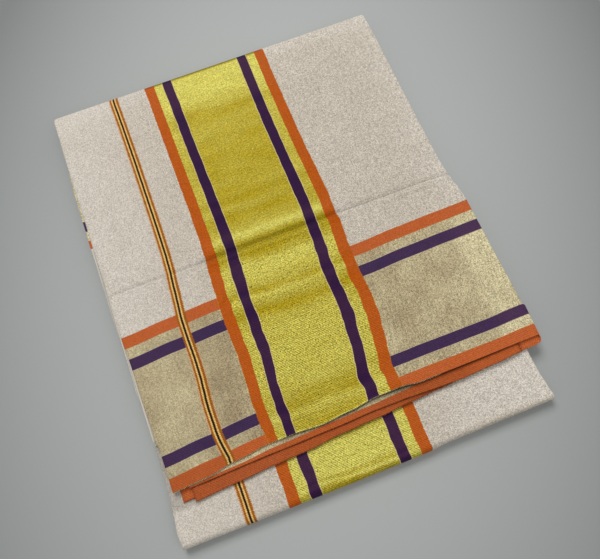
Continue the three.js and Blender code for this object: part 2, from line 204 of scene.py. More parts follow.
def top_height(x, y, fine=True):
    lean = clamp((y - BACK_LEAN_FROM) / (BACK_FOLD_Y - BACK_LEAN_FROM)) ** 1.2
    height = follow(TOP_ROWS, "height", y) - (PACKET_HEIGHT - BACK_HEIGHT) * lean
    fade = ease((BACK_FOLD_Y - y) / 12)
    relief = 0.0
    for fold in TOP_FOLDS:
        if abs(y - fold["y"]) < fold["width"]:
            strength = between(x, fold["start"], fold["end"], 8)
            relief += fold["rise"] * bump(y - fold["y"], fold["width"]) * strength
    if not fine:
        return height + relief * fade
    for fold in COCKLES:
        centre = fold["y"] + slant(x) + 0.8 * rough(x, 0, 30, fold["y"])
        if abs(y - centre) < fold["width"]:
            strength = between(x, fold["start"], fold["end"]) * (0.75 + 0.6 * rough(x, 9, 22, fold["y"]))
            relief += fold["rise"] * bump(y - centre, fold["width"]) * strength
    gold = between(x, -58, 42, 8)
    relief += (0.10 + 0.05 * gold) * rough(x, y, 24, 3.0) + 0.06 * gold * rough(x * 0.25, y, 4, 7.0)
    relief += 0.05 * rough(x, y * 0.35, 6, 9.0)
    pucker = math.sin(2 * math.pi * y / PUCKER_PITCH + 2 * rough(x, y, 18, 5.0))
    lower = 0.25 + 0.75 * ease((10 - y) / 40)
    for band in (woven_x("left_in", y) - 3.5, woven_x("right_in", y) + 3.5):
        relief += PUCKER_RISE * lower * pucker * bump(x - band, 11)
    return height + relief * fade


print("creases and troughs:", len(TOP_FOLDS), "cockles:", len(COCKLES))

# %% [markdown]
# ## Where the woven lines lie
# The bands are woven dead straight, but cloth on a table wanders. The table says where
# five of the woven lines lie on the top ply, from the front to the back. `top_u` turns a
# place on the packet into a place along the saree's length, and `top_v` into a distance
# from the selvage. These two become the UV map, so every stripe can be drawn straight in
# the cloth's own coordinates and still wanders as the cloth does.

# %% The cloth's own coordinates
WOVEN = dict(narrow=-80.3, left_out=-55.0, left_in=-34.3, right_in=18.4, right_out=39.4)
WOVEN_LINES = table(
    "y narrow left_out left_in right_in right_out",
    (-119, -82.0, -55.0, -37.4, 12.0, 36.6),
    (-110, -83.6, -55.6, -37.1, 13.8, 36.2),
    (-102, -84.4, -56.2, -37.4, 12.3, 35.6),
    (-94, -84.4, -56.6, -37.2, 13.6, 36.9),
    (-86, -84.3, -56.1, -36.8, 15.0, 38.4),
    (-78, -84.0, -55.6, -35.8, 16.0, 39.2),
    (-66, -82.9, -55.2, -34.4, 17.5, 41.3),
    (-54, -82.6, -55.3, -34.5, 18.2, 41.5),
    (-38, -82.9, -55.9, -34.3, 17.6, 40.3),
    (-24, -82.8, -55.8, -34.3, 17.2, 40.4),
    (-14, -81.9, -55.6, -33.8, 18.2, 40.6),
    (0, -80.9, -54.9, -33.0, 19.1, 41.6),
    (10, -80.0, -54.0, -32.0, 19.3, 40.9),
    (22, -79.4, -53.8, -32.1, 19.9, 41.5),
    (42, -79.2, -53.6, -32.5, 19.5, 41.0),
    (66, -79.2, -53.8, -33.0, 19.0, 39.8),
    (98, -79.3, -54.2, -33.8, 18.2, 39.4),
    (130, -79.7, -54.6, -34.0, 18.2, 39.0),
    (154, -80.5, -55.0, -34.6, 18.5, 39.5))
LOWER_SHIFT = dict(narrow=-1.2, left_out=-1.2, left_in=-0.5, right_in=-0.8, right_out=-0.4)
INNER_LINE = table(
    "x y",
    (-121, -22.3), (-92, -20.6), (-58, -19.3), (0, -18.4), (46, -17.6), (75, -16.4), (105, -15.8),
    (130, -15.5))
BORDER_WIDTH = 103.5


def woven_x(line, y):
    return follow(WOVEN_LINES, line, y, straight=True)


def straighten(x, lies):
    """Turns a place between the wandering woven lines into one between the straight ones."""
    names = list(WOVEN)
    if x <= lies[names[0]]:
        return x - lies[names[0]] + WOVEN[names[0]]
    for a, b in zip(names, names[1:]):
        if x <= lies[b]:
            return mix(WOVEN[a], WOVEN[b], (x - lies[a]) / (lies[b] - lies[a]))
    return x - lies[names[-1]] + WOVEN[names[-1]]


def top_u(x, y):
    return straighten(x, {line: woven_x(line, y) for line in WOVEN})


def lower_u(x):
    return straighten(x, {line: place + LOWER_SHIFT[line] for line, place in WOVEN.items()})


LINE_SHIFT = table(  # how far the border's other lines stray toward the middle
    "x shift",
    (-121, -0.6), (-86, -0.5), (-74, 0.0), (-55, 0.3), (-48, 0.0), (22, 0.0), (37, 1.4), (50, 1.3),
    (76, 0.1), (105, -0.6), (124, -0.2))


def top_v(x, y):
    """Distance from the selvage, measured from the border's inner line."""
    stray = follow(LINE_SHIFT, "shift", x) * ease((-60 - y) / 36)
    return BORDER_WIDTH - (follow(INNER_LINE, "y", x) - y) - stray


print("selvage to back fold, mm:", round(top_v(0.0, BACK_FOLD_Y), 1))

# %% [markdown]
# ## Where the painted gleam and shade go
# Flat metal strip is wound round the gold yarn. Where a ripple leans it the right way it
# goes pale, and where it leans away it stays deep. Real mirrors would catch whatever
# stands in the room, so the gleam is a painted highlight instead, laid along the cloth's
# relief. The cream and the tissue get a painted highlight too, paler where more light
# falls. It is kept as a number on every point: 0 is deep, 1 is pale, and a glint goes
# above 1. A second number, the shade, is painted shade: it darkens the narrow places that
# light can't reach, the inside of the sharp crease, and the ply below just under a free
# edge.

# %% Painted gleam and painted shade
# Painted highlight along the gold bands by place along the packet, then along the lower packet's front
# fold; painted light on the tissue and the cream by place across; and the painted shade inside the
# crease.
GOLD_PAINTED_GLEAM = table(
    "y gleam",
    (-118, 0.16), (-113, 0.3), (-109.5, 0.64), (-104, 0.15), (-98, 0.28), (-92, 0.62), (-84, 0.7),
    (-58, 0.65), (-46, 0.47), (-39.5, 0.03), (-33, 0.4), (-29, 0.7), (-25, 0.1), (-20, 0.57),
    (-13, 0.78), (-6, 0.8), (-1.5, 0.3), (2.5, 0.0), (5, 0.12), (7, 0.0), (10.5, 0.0),
    (12.5, 0.23), (14, 0.6), (17, 1.0), (21.5, 0.41), (26, 0.18), (32, 0.05), (38, 0.26),
    (44, 0.02), (50, 0.17), (66, 0.14), (92, 0.17), (101, 0.33), (118, 0.14), (126, 0.56),
    (131.5, 0.9), (156, 1.05))
LOWER_GOLD_PAINTED_GLEAM = table(
    "y gleam",
    (-160, 0.1), (-157.5, 0.3), (-156.2, 1.5), (-154.6, 0.4), (-152.6, 0.6), (-150, 1.3),
    (-139, 1.5), (-135.5, 1.2), (-131, 0.5))
TISSUE_PAINTED_LIGHT = table(
    "x gleam",
    (-122, 0.4), (-100, 0.45), (-84, 0.28), (-66, 0.1), (45, 0.28), (80, 0.36), (104, 0.5),
    (118, 0.9), (128.5, 0.95), (129.6, 1.3), (131, 0.8))
CREAM_PAINTED_LIGHT = table(
    "x gleam",
    (-122, 0.9), (-96, 0.7), (-72, 0.3), (-58, 0.15), (44, 0.1), (85, 0.0), (110, 0.2), (124, 0.6))
CREASE_PAINTED_SHADE = table(
    "y shade",
    (2.5, 0.0), (5.2, 0.03), (6.3, 0.10), (7.0, 0.13), (7.4, 0.02), (7.9, 0.26), (8.6, 0.33),
    (10.5, 0.14), (12.3, 0.0))
CREASE_Y = 8.0                  # the old crease runs straight along the packet
BRIGHTEST_PAINTED_GLEAM = 1.538


def gleam(x, y, u, v, gold_rows):
    """The painted highlight at a place on the cloth: how pale the yarn is painted to look."""
    if WOVEN["left_out"] < u < WOVEN["right_out"]:
        away = abs(y - CREASE_Y)
        at = y + slant(x) * 0.6 * ease(away / 12)
        at += 1.5 * rough(x, y * 0.2, 14, 71.0) * ease(away / 9)
        level = follow(gold_rows, "gleam", at) + 0.2 * rough(x * 0.3, y, 7, 73.0)
        level += (1 - between(u, -42, 26, 1)) * (0.25 * ease((y - 20) / 20) + 0.35 * ease((-94 - y) / 6))
        return min(max(level, 0.0), BRIGHTEST_PAINTED_GLEAM)
    if v < BORDER_WIDTH:
        return clamp(follow(TISSUE_PAINTED_LIGHT, "gleam", x) + 0.35 * rough(x, y, 16, 75.0))
    # Painted highlight: the cream is paler towards the back fold, where more light falls.
    back = 0.55 * ease((y - 141) / 11)
    return clamp(follow(CREAM_PAINTED_LIGHT, "gleam", x) + 0.25 * rough(x, y, 20, 77.0)) + back


def painted_crease_shade(x, y):
    """Painted shade inside the old crease, broad on the stiff gold bands and a fine line on the cream,
    with a faint painted highlight just in front of that line.
    """
    stiff = between(x, -62, 48, 6)
    broad = mix(0.22, 1.0, stiff) * follow(CREASE_PAINTED_SHADE, "shade", y + 0.5 * rough(x, 0, 25, 79.0))
    below = y - 8.3 + 0.9 * ease((x - 104) / 22) + 0.4 * rough(x, 0, 30, 81.0)
    sharp = mix(0.10, 0.26, ease((x - 20) / 30)) * bump(below, 1.0) - 0.07 * bump(below + 1.3, 0.8)
    return broad + (1 - stiff) * sharp


def painted_edge_shadow(distance, dark, reach):
    """Painted shadow just outside a free edge that lies on the ply below."""
    return dark * (1 - ease((distance - 0.4) / reach))


print("right band, mm:", round(top_u(woven_x("right_out", -90), -90), 2))

# %% [markdown]
# ## From a grid to a ply
# Each ply is a grid of points on its outer face and the same grid a cloth's thickness
# inside it. The rim between them closes the shell. The UV map holds the cloth's own
# coordinates in metres, and two attributes hold the painted gleam and the painted shade.

# %% Make a closed shell from a grid
def put(name, data):
    """An object for a mesh, a lamp or a camera, set in the scene."""
    made = bpy.data.objects.new(name, data)
    bpy.context.collection.objects.link(made)
    return made


def cloth_shell(name, rows, columns, place):
    """place(row, column, side) gives a point in mm and its (u, v, gleam, shade) on the cloth."""
    points, marks = [], []
    for side in (0, 1):
        for row in rows:
            for column in columns:
                point, mark = place(row, column, side)
                points.append((Vector(point) - MIDDLE) * MM)
                marks.append(mark)
    across, face_size = len(columns), len(rows) * len(columns)

    def at(side, r, c):
        return side * face_size + r * across + c

    faces = []
    for r in range(len(rows) - 1):
        for c in range(across - 1):
            faces.append((at(0, r, c), at(0, r, c + 1), at(0, r + 1, c + 1), at(0, r + 1, c)))
            faces.append((at(1, r, c), at(1, r + 1, c), at(1, r + 1, c + 1), at(1, r, c + 1)))
    last = len(rows) - 1
    for c in range(across - 1):
        faces.append((at(0, 0, c + 1), at(0, 0, c), at(1, 0, c), at(1, 0, c + 1)))
        faces.append((at(0, last, c), at(0, last, c + 1), at(1, last, c + 1), at(1, last, c)))
    far = across - 1
    for r in range(last):
        faces.append((at(0, r, 0), at(0, r + 1, 0), at(1, r + 1, 0), at(1, r, 0)))
        faces.append((at(0, r + 1, far), at(0, r, far), at(1, r, far), at(1, r + 1, far)))
    return mesh_piece(name, points, faces, marks)


def mesh_piece(name, points, faces, marks):
    mesh = bpy.data.meshes.new(name)
    mesh.from_pydata(points, [], faces)
    layer = mesh.uv_layers.new(name="cloth")
    for loop in mesh.loops:
        u, v = marks[loop.vertex_index][:2]
        layer.data[loop.index].uv = (u * MM, v * MM)
    for name_of, place_of in (("gleam", 2), ("shade", 3)):
        numbers = mesh.attributes.new(name_of, "FLOAT", "POINT")
        for point, mark in zip(numbers.data, marks):
            point.value = mark[place_of] if len(mark) > place_of else 0.0
    mesh.shade_smooth()
    mesh.validate()
    print(f"{name}: {len(points)} points, {len(faces)} faces")
    return put(name, mesh)

# %% [markdown]
# ## The section of a ply that turns back
# The outer ply is itself folded lengthwise: at the right its edge rolls round and runs
# back under. The section is drawn once, as columns: a soft left edge, the flat stretch,
# the roll and the return. A bend modifier could roll it, but columns keep the cloth's
# length round the roll, so the pattern can't slip there.

# %% Columns of a ply that turns back at the right
FLAT_PITCH = 2.2
PLY_WIDTH = 250.0               # roughly, to count the columns
LEFT_EDGE_DROP = 0.5


def turned_columns():
    flat = round(PLY_WIDTH / FLAT_PITCH)
    columns = [("flat", t * 0.5 / flat) for t in (0.0, 0.5, 1.0)]
    columns += [("flat", i / flat) for i in range(1, flat + 1)]
    columns += [("turn", t) for t in steps(12)[1:]]
    columns += [("return", t) for t in steps(4)[1:]]
    return columns


def turned_section(column, side, left, right):
    """Where a column lies across the packet, how deep under its face, and its length there."""
    part, t = column
    axis = right - TURN_RADIUS
    if part == "flat":
        x = mix(left, axis, t)
        droop = LEFT_EDGE_DROP * ease(1 - (x - left) / 1.6)
        return x, side * CLOTH + droop, x
    if part == "turn":
        radius, angle = TURN_RADIUS - side * CLOTH, math.pi * t
        along = axis + angle * TURN_RADIUS
        return axis + radius * math.sin(angle), TURN_RADIUS - radius * math.cos(angle), along
    along = axis + math.pi * TURN_RADIUS + RETURN_LENGTH * t
    return axis - RETURN_LENGTH * t, 2 * TURN_RADIUS - side * CLOTH, along


print("columns across a turned ply:", len(turned_columns()))

# %% [markdown]
# ## The top ply
# It starts at the selvage in front, lies over the whole packet, goes round the back fold
# and runs under to the middle. Near the selvage it stands a little off the ply below, as
# a free woven edge does, so a dark line of shadow shows under it, and painted shadow on
# the ply below deepens it. Everything here is a formula on the grid, because a simulation
# would not keep the sharp old crease.

# %% The top ply
SELVAGE_LIFT = table(
    "x lift",
    (-121, 0.0), (-95, 0.3), (-60, 0.2), (-35, 0.3), (-5, 0.9), (20, 1.5), (38, 1.7), (70, 1.5),
    (105, 1.0), (126, 0.1))
LIFT_REACH = 16.0
STRIP_DROOP = 1.5
STRIP_FRONT_Y = -120.0          # about where the top ply ends in front
DROOP_REACH = 34.0
PATH_STEP = 2.0
CREASE_STEP = 0.33
CREASE = (1.0, 14.0)
RETURN_SHIFT = 5.4              # the layer under the turn lies this much further out
BACK_RADIUS = BACK_HEIGHT / 2
SELVAGE_ORANGE = 8.6            # how wide the orange is beside the selvage
# A painted highlight along the very edge, where the turned wefts shine.
EDGE_PAINTED_HIGHLIGHT = 1.8                # the turned wefts shine along the very edge


def strip_droop(y, front_y):
    return ease(1 - (y - front_y) / DROOP_REACH)


def spaced(start, end, step):
    return [mix(start, end, t) for t in steps(max(round(abs(end - start) / step), 1))]


def top_rows():
    rows = [("edge", 0.0), ("edge", 0.012), ("edge", 0.025)]
    rows += [("edge", t * t * 0.5 + t * 0.5) for t in steps(14)[1:-1]]
    body = spaced(STRIPS_BACK_Y, CREASE[0], PATH_STEP) + spaced(*CREASE, CREASE_STEP)[1:]
    body += spaced(CREASE[1], BACK_FOLD_Y, PATH_STEP)[1:]
    rows += [("body", y) for y in body]
    rows += [("fold", math.pi * t) for t in steps(18)[1:]]
    rows += [("under", mix(BACK_FOLD_Y, SEAM / 2, t)) for t in steps(10)[1:]]
    return rows

# %% [markdown]
# ## The top ply's four zones
# From front to back the ply is an edge that lifts off the plies below, a flat body, the
# round of the back fold, and a stretch underneath. Every row belongs to one of them. One
# function places them all, so the shell has no seam where a zone ends.

# %% Place every point of the top ply
def top_selvage_y(column, x):
    part, t = column
    edge = follow(TOP_SELVAGE, "y", x)
    if part == "flat":
        return edge
    return mix(edge, TURNED_SELVAGE_Y, ease(t)) if part == "turn" else RETURNED_SELVAGE_Y


def turned_v(column, x, y):
    """Distance from the selvage, which the turn carries a little further out."""
    part, t = column
    share = 0.0 if part == "flat" else ease(t) if part == "turn" else 1.0
    return top_v(x, y) + RETURN_SHIFT * share * ease((-60 - y) / 50)


def place_top(row, column, side):
    zone, value = row
    outline_y = {"edge": TOP_ROWS[0]["y"], "body": value}.get(zone, BACK_FOLD_Y)
    x, depth, along = turned_section(column, side, *sides(TOP_ROWS, outline_y))
    if zone in ("edge", "body"):
        edge = top_selvage_y(column, x)
        y = mix(edge, STRIPS_BACK_Y, value) if zone == "edge" else value
        lift = 0.0
        if zone == "edge" and column[0] == "flat":
            lift = follow(SELVAGE_LIFT, "lift", x) * bump(y - edge, LIFT_REACH)
        start = edge if zone == "edge" else STRIP_FRONT_Y
        z = top_height(x, y) - depth + lift - STRIP_DROOP * strip_droop(y, start)
        u, v = top_u(along, y), turned_v(column, x, y)
        pale = gleam(x, y, u, v, GOLD_PAINTED_GLEAM)
        # A painted highlight along the very edge.
        if zone == "edge":
            pale += EDGE_PAINTED_HIGHLIGHT * bump(y - edge, 0.9)
        # Painted shade on the selvage orange at the left, where the edge droops.
        shade = 0.11 * ease((-70 - x) / 20) if v < SELVAGE_ORANGE else 0.0
        return (x, y, z), (u, v, pale, painted_crease_shade(x, y) + shade)
    path = top_v(x, BACK_FOLD_Y) + PACKET_HEIGHT / 2 * (value if zone == "fold" else math.pi)
    u = top_u(along, BACK_FOLD_Y)
    if zone == "fold":
        y = BACK_FOLD_Y + (PACKET_HEIGHT / 2 - depth) * math.sin(value)
        z = BACK_RADIUS + (BACK_RADIUS - depth) * math.cos(value)
        pale = gleam(x, BACK_FOLD_Y, u, path, GOLD_PAINTED_GLEAM)
        # On the gold the painted highlight goes deep, and a painted dark line follows where the back fold
        # turns away from the light; on the cream the painted highlight only fades.
        if WOVEN["left_out"] < u < WOVEN["right_out"]:
            pale *= 1 - ease((value - 0.2) / 0.3) + 0.3 * ease((value - 1.0) / 0.5)
            return (x, y, z), (u, path, pale, 0.5 * bump(value - 0.75, 0.42))
        return (x, y, z), (u, path, pale * (1 - 0.7 * ease((value - 0.5) / 0.7)))
    return (x, value, depth), (u, path + BACK_FOLD_Y - value, 0.5)


top_cloth = cloth_shell("top_cloth", top_rows(), turned_columns(), place_top)

# %% [markdown]
# ## The front fold
# The same outer ply comes out from under the packet, goes round the front fold and lies
# on the lower half of the plies. Its end bands meet those of the top ply, because both
# are the same weft bands, one panel apart. It could be one mesh with the top ply. Two
# shells let each take its own solid's place, and they meet on the underside.

# %% The lower packet's outer ply
LOWER_PATH = 600.0              # distance from the selvage at the front fold's axis


def lower_rows():
    rows = [("under", mix(-SEAM / 2, FRONT_FOLD_Y, t)) for t in steps(10)]
    rows += [("fold", math.pi * t) for t in steps(16)[1:]]
    top = round((STRIPS_BACK_Y - FRONT_FOLD_Y) / PATH_STEP)
    rows += [("top", mix(FRONT_FOLD_Y, STRIPS_BACK_Y - SEAM, t)) for t in steps(top)[1:]]
    return rows


LOWER_FOLDS = table(
    "y rise width start end",
    (-153.6, -0.22, 2.6, -50, 30), (-150, 0.12, 3.5, -56, 44), (-146, -0.10, 4, -20, 40))


def lower_relief(x, y):
    swell = 0.09 * rough(x, y, 26, 11.0) + 0.05 * rough(x, y * 0.4, 7, 13.0)
    for fold in LOWER_FOLDS:
        centre = fold["y"] + 0.5 * slant(x) + 0.6 * rough(x, 3, 16, fold["y"])
        swell += fold["rise"] * bump(y - centre, fold["width"]) * between(x, fold["start"], fold["end"])
    return swell * ease((y - FRONT_FOLD_Y) / 3)


def place_lower(row, column, side):
    zone, value = row
    outline_y = value if zone == "top" else FRONT_FOLD_Y
    x, depth, along = turned_section(column, side, *sides(LOWER_ROWS, outline_y))
    u, radius = lower_u(along), LOWER_HEIGHT / 2
    if zone == "under":
        return (x, value, depth), (u, LOWER_PATH - (value - FRONT_FOLD_Y), 0.5)
    if zone == "fold":
        out = follow(FRONT_FOLD_LINE, "out", x)
        y = FRONT_FOLD_Y - (radius - depth + out) * math.sin(value)
        v = LOWER_PATH + radius * value
        pale = gleam(x, y, u, v, LOWER_GOLD_PAINTED_GLEAM)
        return (x, y, radius - (radius - depth) * math.cos(value)), (u, v, pale)
    v = LOWER_PATH + radius * math.pi + value - FRONT_FOLD_Y
    z = LOWER_HEIGHT - depth + lower_relief(x, value)
    # Painted shadow just outside the edges of the strips lying on it, and a painted highlight that grows
    # towards the right.
    beyond = min(follow(THIRD_SELVAGE, "y", x), follow(FOURTH_SELVAGE, "y", x)) - value
    shade = painted_edge_shadow(beyond, 0.3, 1.0)
    pale = gleam(x, value, u, v, LOWER_GOLD_PAINTED_GLEAM) + 0.8 * ease((x - 42) / 40)
    return (x, value, z), (u, v, pale, shade)


front_fold_cloth = cloth_shell("front_fold_cloth", lower_rows(), turned_columns(), place_lower)

# %% [markdown]
# ## The selvages in front
# Three more plies end along the front. The second and the third each reach a little
# further out than the one above, and the fourth shows only past the third's left end.
# They are far from the saree's end, so they show only the border: its orange line at the
# selvage, and above it a little gold tissue. Each droops onto the ply below. Their colour
# holds painted shade, darkest just under the edge above, and the tissue a painted
# highlight. One function makes all three as strips, because the rest of each ply lies out
# of sight.

# %% Second, third and fourth plies
SECOND_ORANGE_LINE = table(
    "x y",
    (-111, -126.3), (-80, -124.9), (-50, -123.0), (-10, -121.8), (15, -121.0), (30, -120.2),
    (56, -118.8), (66, -117.2), (118, -115.4))
PLAIN_CLOTH_U = 400.0           # a stretch of the saree with no end bands
PLAIN_CLOTH_V = 300.0           # between the borders
TURN_AT_STRIPS = follow(TOP_ROWS, "right", STRIPS_BACK_Y) - TURN_RADIUS
OVERLAP = 0.9                   # the second ply laps over the end of the return
SECOND_END = TURN_AT_STRIPS - RETURN_LENGTH + OVERLAP
END_DROP = 0.5                  # and comes down to it
LOOPS_END = 64.0                # beyond it the top selvage lies too close for loops to show
TOP_FRONT_STEPS = 116
# Painted shadow under the top ply's edge: how dark it is, and how far it reaches.
FREE_EDGE_PAINTED_SHADOW = table(  # how dark it is under the top ply's edge
    "x dark",
    (-121, 0.3), (-60, 0.42), (-38, 0.85), (36, 0.9), (50, 0.76), (92, 0.68), (112, 0.5),
    (134, 0.3))
FREE_EDGE_SHADOW_REACH = table(
    "x reach",
    (-60, 0.5), (-30, 0.8), (20, 1.1), (36, 2.0), (50, 1.5), (78, 1.3), (110, 0.8))


def painted_strip_shade(number, x, y):
    """Painted shade: the strips lie lower and lower, so each is painted darker, darkest beside the edge
    above it.
    """
    if number == 1:
        beyond = follow(TOP_SELVAGE, "y", x) - y
        dark, reach = follow(FREE_EDGE_PAINTED_SHADOW, "dark", x), follow(FREE_EDGE_SHADOW_REACH, "reach", x)
        return max(0.08 + 0.13 * between(x, 5, 92, 20), painted_edge_shadow(beyond, dark, reach))
    above = SECOND_SELVAGE if number == 2 else THIRD_SELVAGE
    if x < above[0]["x"]:
        return max(0.05, painted_edge_shadow(follow(TOP_SELVAGE, "y", x) - y, 0.7, 0.6))
    floor = 0.22 + (0.22 * between(x, 30, 95, 20) if number == 2 else 0.0)
    return max(floor, painted_edge_shadow(follow(above, "y", x) - y, 0.8, 0.45))


def strip_rows(number):
    """Closer rows near the front, where the shade under the edges is narrow."""
    near = [0.55 * t / 34 for t in range(35)] if number < 3 else [0.5 * t / 14 for t in range(15)]
    return near + [mix(near[-1], 1.0, t) for t in steps(6)[1:]]


def selvage_cloth(name, selvage, number, droop, right_end=None, orange_line=None):
    left, right = selvage[0]["x"], right_end or selvage[-1]["x"]
    columns = [mix(left, right, t) for t in steps(round((right - left) / FLAT_PITCH))]
    top = STRIP_TOP - number * PLY

    def place(row, x, side):
        edge = follow(selvage, "y", x)
        y = mix(edge, STRIPS_BACK_Y - SEAM, row)
        wave = 0.10 * rough(x, y, 14, 20.0 + number) + 0.05 * rough(x, y, 5, 30.0 + number)
        z = top - side * CLOTH + wave - droop * strip_droop(y, edge)
        if number == 1:
            z -= END_DROP * ease((x - SECOND_END + 6) / 6)
        orange_from = follow(orange_line, "y", x) if orange_line else edge + SELVAGE_ORANGE
        v = SELVAGE_ORANGE + y - orange_from
        # Painted highlight on the tissue: paler towards the left end and in a short stretch just right of
        # the middle.
        pale = 0.1 + 0.65 * ease((x + 38) / -22) + 0.5 * between(x, 2, 34, 8)
        return (x, y, z), (x + PLAIN_CLOTH_U, v, pale, painted_strip_shade(number, x, y))

    front = [place(0.0, x, 0.5)[0] for x in columns]
    return cloth_shell(name, strip_rows(number), columns, place), front


second_cloth, second_front = selvage_cloth(
    "second_cloth", SECOND_SELVAGE, 1, 1.1, right_end=SECOND_END, orange_line=SECOND_ORANGE_LINE)
third_cloth, third_front = selvage_cloth("third_cloth", THIRD_SELVAGE, 2, 0.8)
fourth_cloth, fourth_front = selvage_cloth("fourth_cloth", FOURTH_SELVAGE, 3, 0.45)
top_front = [place_top(("edge", 0.0), ("flat", t), 0.5)[0] for t in steps(TOP_FRONT_STEPS)]
top_front = [point for point in top_front if point[0] < LOOPS_END]

# %% [markdown]
# ## An inner end
# At the left the cut end of an inner ply peeks out a millimetre or two. That ply was
# folded the other way round, so the border that crosses it lies further back, and a bit
# of purple and a bit of orange show on its edge. A strip along the edge is enough, and it
# follows the top ply's height, so it can't poke through.

# %% The inner ply's end
INNER_SELVAGE_Y = 45.0
INNER_END_Y = (-94.0, 151.0)    # its front and back
INNER_END_RIGHT = -95.0
INNER_END_GAP = 0.35            # the air over it
INNER_COLUMNS = (0.0, 0.03, 0.1, 0.3, 0.6, 1.0)


def place_inner(y, t, side):
    left = follow(INNER_END_LEFT, "left", y) + 0.25 * rough(0, y, 9, 41.0)
    x = mix(left, INNER_END_RIGHT, t)
    droop = STRIP_DROOP * strip_droop(y, STRIP_FRONT_Y)
    z = top_height(x, y, fine=False) - PLY - INNER_END_GAP - side * CLOTH - droop
    v = BORDER_WIDTH - abs(y - INNER_SELVAGE_Y) if y > INNER_SELVAGE_Y else PLAIN_CLOTH_V
    # The inner end gets a full painted highlight, so it looks paler.
    return (x, y, z), (PLAIN_CLOTH_U + x, v, 1.0)


inner_rows = spaced(*INNER_END_Y, PATH_STEP)
inner_end_cloth = cloth_shell("inner_end_cloth", inner_rows, INNER_COLUMNS, place_inner)

# %% [markdown]
# ## The heart
# All the plies that nobody sees are one body. Only its sides show, as the edges of the
# folded plies: a ridge for each bundle of them, none quite as far out as its neighbour,
# and each wandering a little along the packet. Painted shade darkens the grooves between
# the ridges, and a painted highlight, different for each bundle, lifts the shaded sides.
# It is a loft of rings, like the solid, with many more ridges.

# %% The hidden plies
HEART_ROWS = table(
    "y low_left low_right high_left high_right",
    (FRONT_FOLD_Y, -124.5, 123.4, -124.5, 123.4),
    (-125, -123.6, 121.2, -123.6, 121.2),
    (-95, -124.2, 121.8, -122.4, 130.4),
    (-50, -125.2, 122.4, -123.4, 128.9),
    (-12, -125.6, 122.6, -124.4, 128.0),
    (6, -125.8, 122.6, -124.8, 124.4),
    (60, -126.0, 122.6, -125.6, 122.6),
    (110, -125.6, 122.4, -125.4, 122.4),
    (BACK_FOLD_Y, -125.2, 122.0, -125.2, 122.0))
# A bundle's pale is partly a tone that differs at random from bundle to bundle and partly a painted
# highlight on the shaded side.
HEART_PLIES = table(  # each bundle's share of the height, its groove and how pale it looks
    "thick groove pale",
    (1.2, 1.3, 1.0), (0.9, 0.9, 2.4), (1.3, 1.1, 0.8), (1.0, 2.5, 1.8), (0.8, 0.8, 0.2),
    (1.2, 1.2, 2.2), (1.0, 2.7, 1.2), (1.3, 0.9, 0.4), (0.8, 1.2, 2.6), (1.1, 2.3, 1.0),
    (0.9, 0.8, 2.0), (1.2, 1.1, 0.6))
# The shade here is painted shade, darkest deep in a groove.
PLY_PROFILE = [                 # how far up a bundle, how far into its groove, and the shade
    (0.0, 1.0, 0.85), (0.12, 0.35, 0.3), (0.3, 0.05, 0.0), (0.72, 0.05, 0.0), (0.9, 0.35, 0.25)]
FRONT_NOSE = 2.4
BACK_NOSE = 5.6


def heart_side(q, y, which):
    low = follow(HEART_ROWS, "low_" + which, y)
    high = follow(HEART_ROWS, "high_" + which, y)
    return mix(low, high, ease((q - 0.35) / 0.3))


def heart_edge(which, inward, low, high, y):
    """The ridged edge of the plies at one side, from the bottom up, with painted highlight and painted
    shade.
    """
    points, whole, below = [], sum(ply["thick"] for ply in HEART_PLIES), 0.0
    for number, ply in enumerate(HEART_PLIES):
        wander = 0.9 * rough(number * 3.7, y, 34, 50.0 + inward) - 0.3
        wander += 0.35 * rough(number * 9.1, y, 8, 60.0)
        for share, groove, dark in PLY_PROFILE:
            q = (below + share * ply["thick"]) / whole
            x = heart_side(q, y, which) + inward * (ply["groove"] * groove - wander)
            points.append((x, y, mix(low, high, q), ply["pale"], dark))
        below += ply["thick"]
    points.append((heart_side(1.0, y, which) + inward, y, high, 1.0, 0.8))
    return points

# %% [markdown]
# ## The heart's rings
# A ring is the outline across the packet at one place along it: up the left side, over
# the top with a step for each turned-back edge, down the right side and back along the
# bottom. Inside the front and back folds the rings get lower, so that the ends are round.

# %% Rings from the front fold to the back fold
def heart_ring(y, bottom, top):
    """Outline across the packet; bottom and top are (plain, under a turned-back edge)."""
    turned = "high_right" if y > STRIPS_BACK_Y else "low_right"
    right_notch = follow(HEART_ROWS, turned, y) - RETURN_LENGTH - 1
    low_notch = follow(HEART_ROWS, "low_right", y) - RETURN_LENGTH - 1
    left_top = top[1] if y > STRIPS_BACK_Y else top[0]
    ring = heart_edge("left", 1, bottom[0], left_top, y)
    ring += [(INNER_END_RIGHT + SEAM, y, left_top, 1, 0), (INNER_END_RIGHT + 2 * SEAM, y, top[0], 1, 0)]
    ring += [(right_notch - SEAM, y, top[0], 1, 0), (right_notch, y, top[1], 1, 0)]
    ring += heart_edge("right", -1, bottom[1], top[1], y)[::-1]
    ring += [(low_notch, y, bottom[1], 1, 0), (low_notch - SEAM, y, bottom[0], 1, 0)]
    return ring


def inside_fold(radius, reach):
    """Bottom and top of the heart inside a fold, a distance beyond the fold's axis."""
    plain = math.sqrt(max((radius - PLY) ** 2 - reach ** 2, 0.04))
    turned = math.sqrt(max((radius - 2 * PLY) ** 2 - reach ** 2, 0.02))
    return (radius - plain, radius - turned), (radius + plain, radius + turned)


def lowest_top(y):
    return min(top_height(mix(*sides(TOP_ROWS, y), t), y) for t in steps(24))


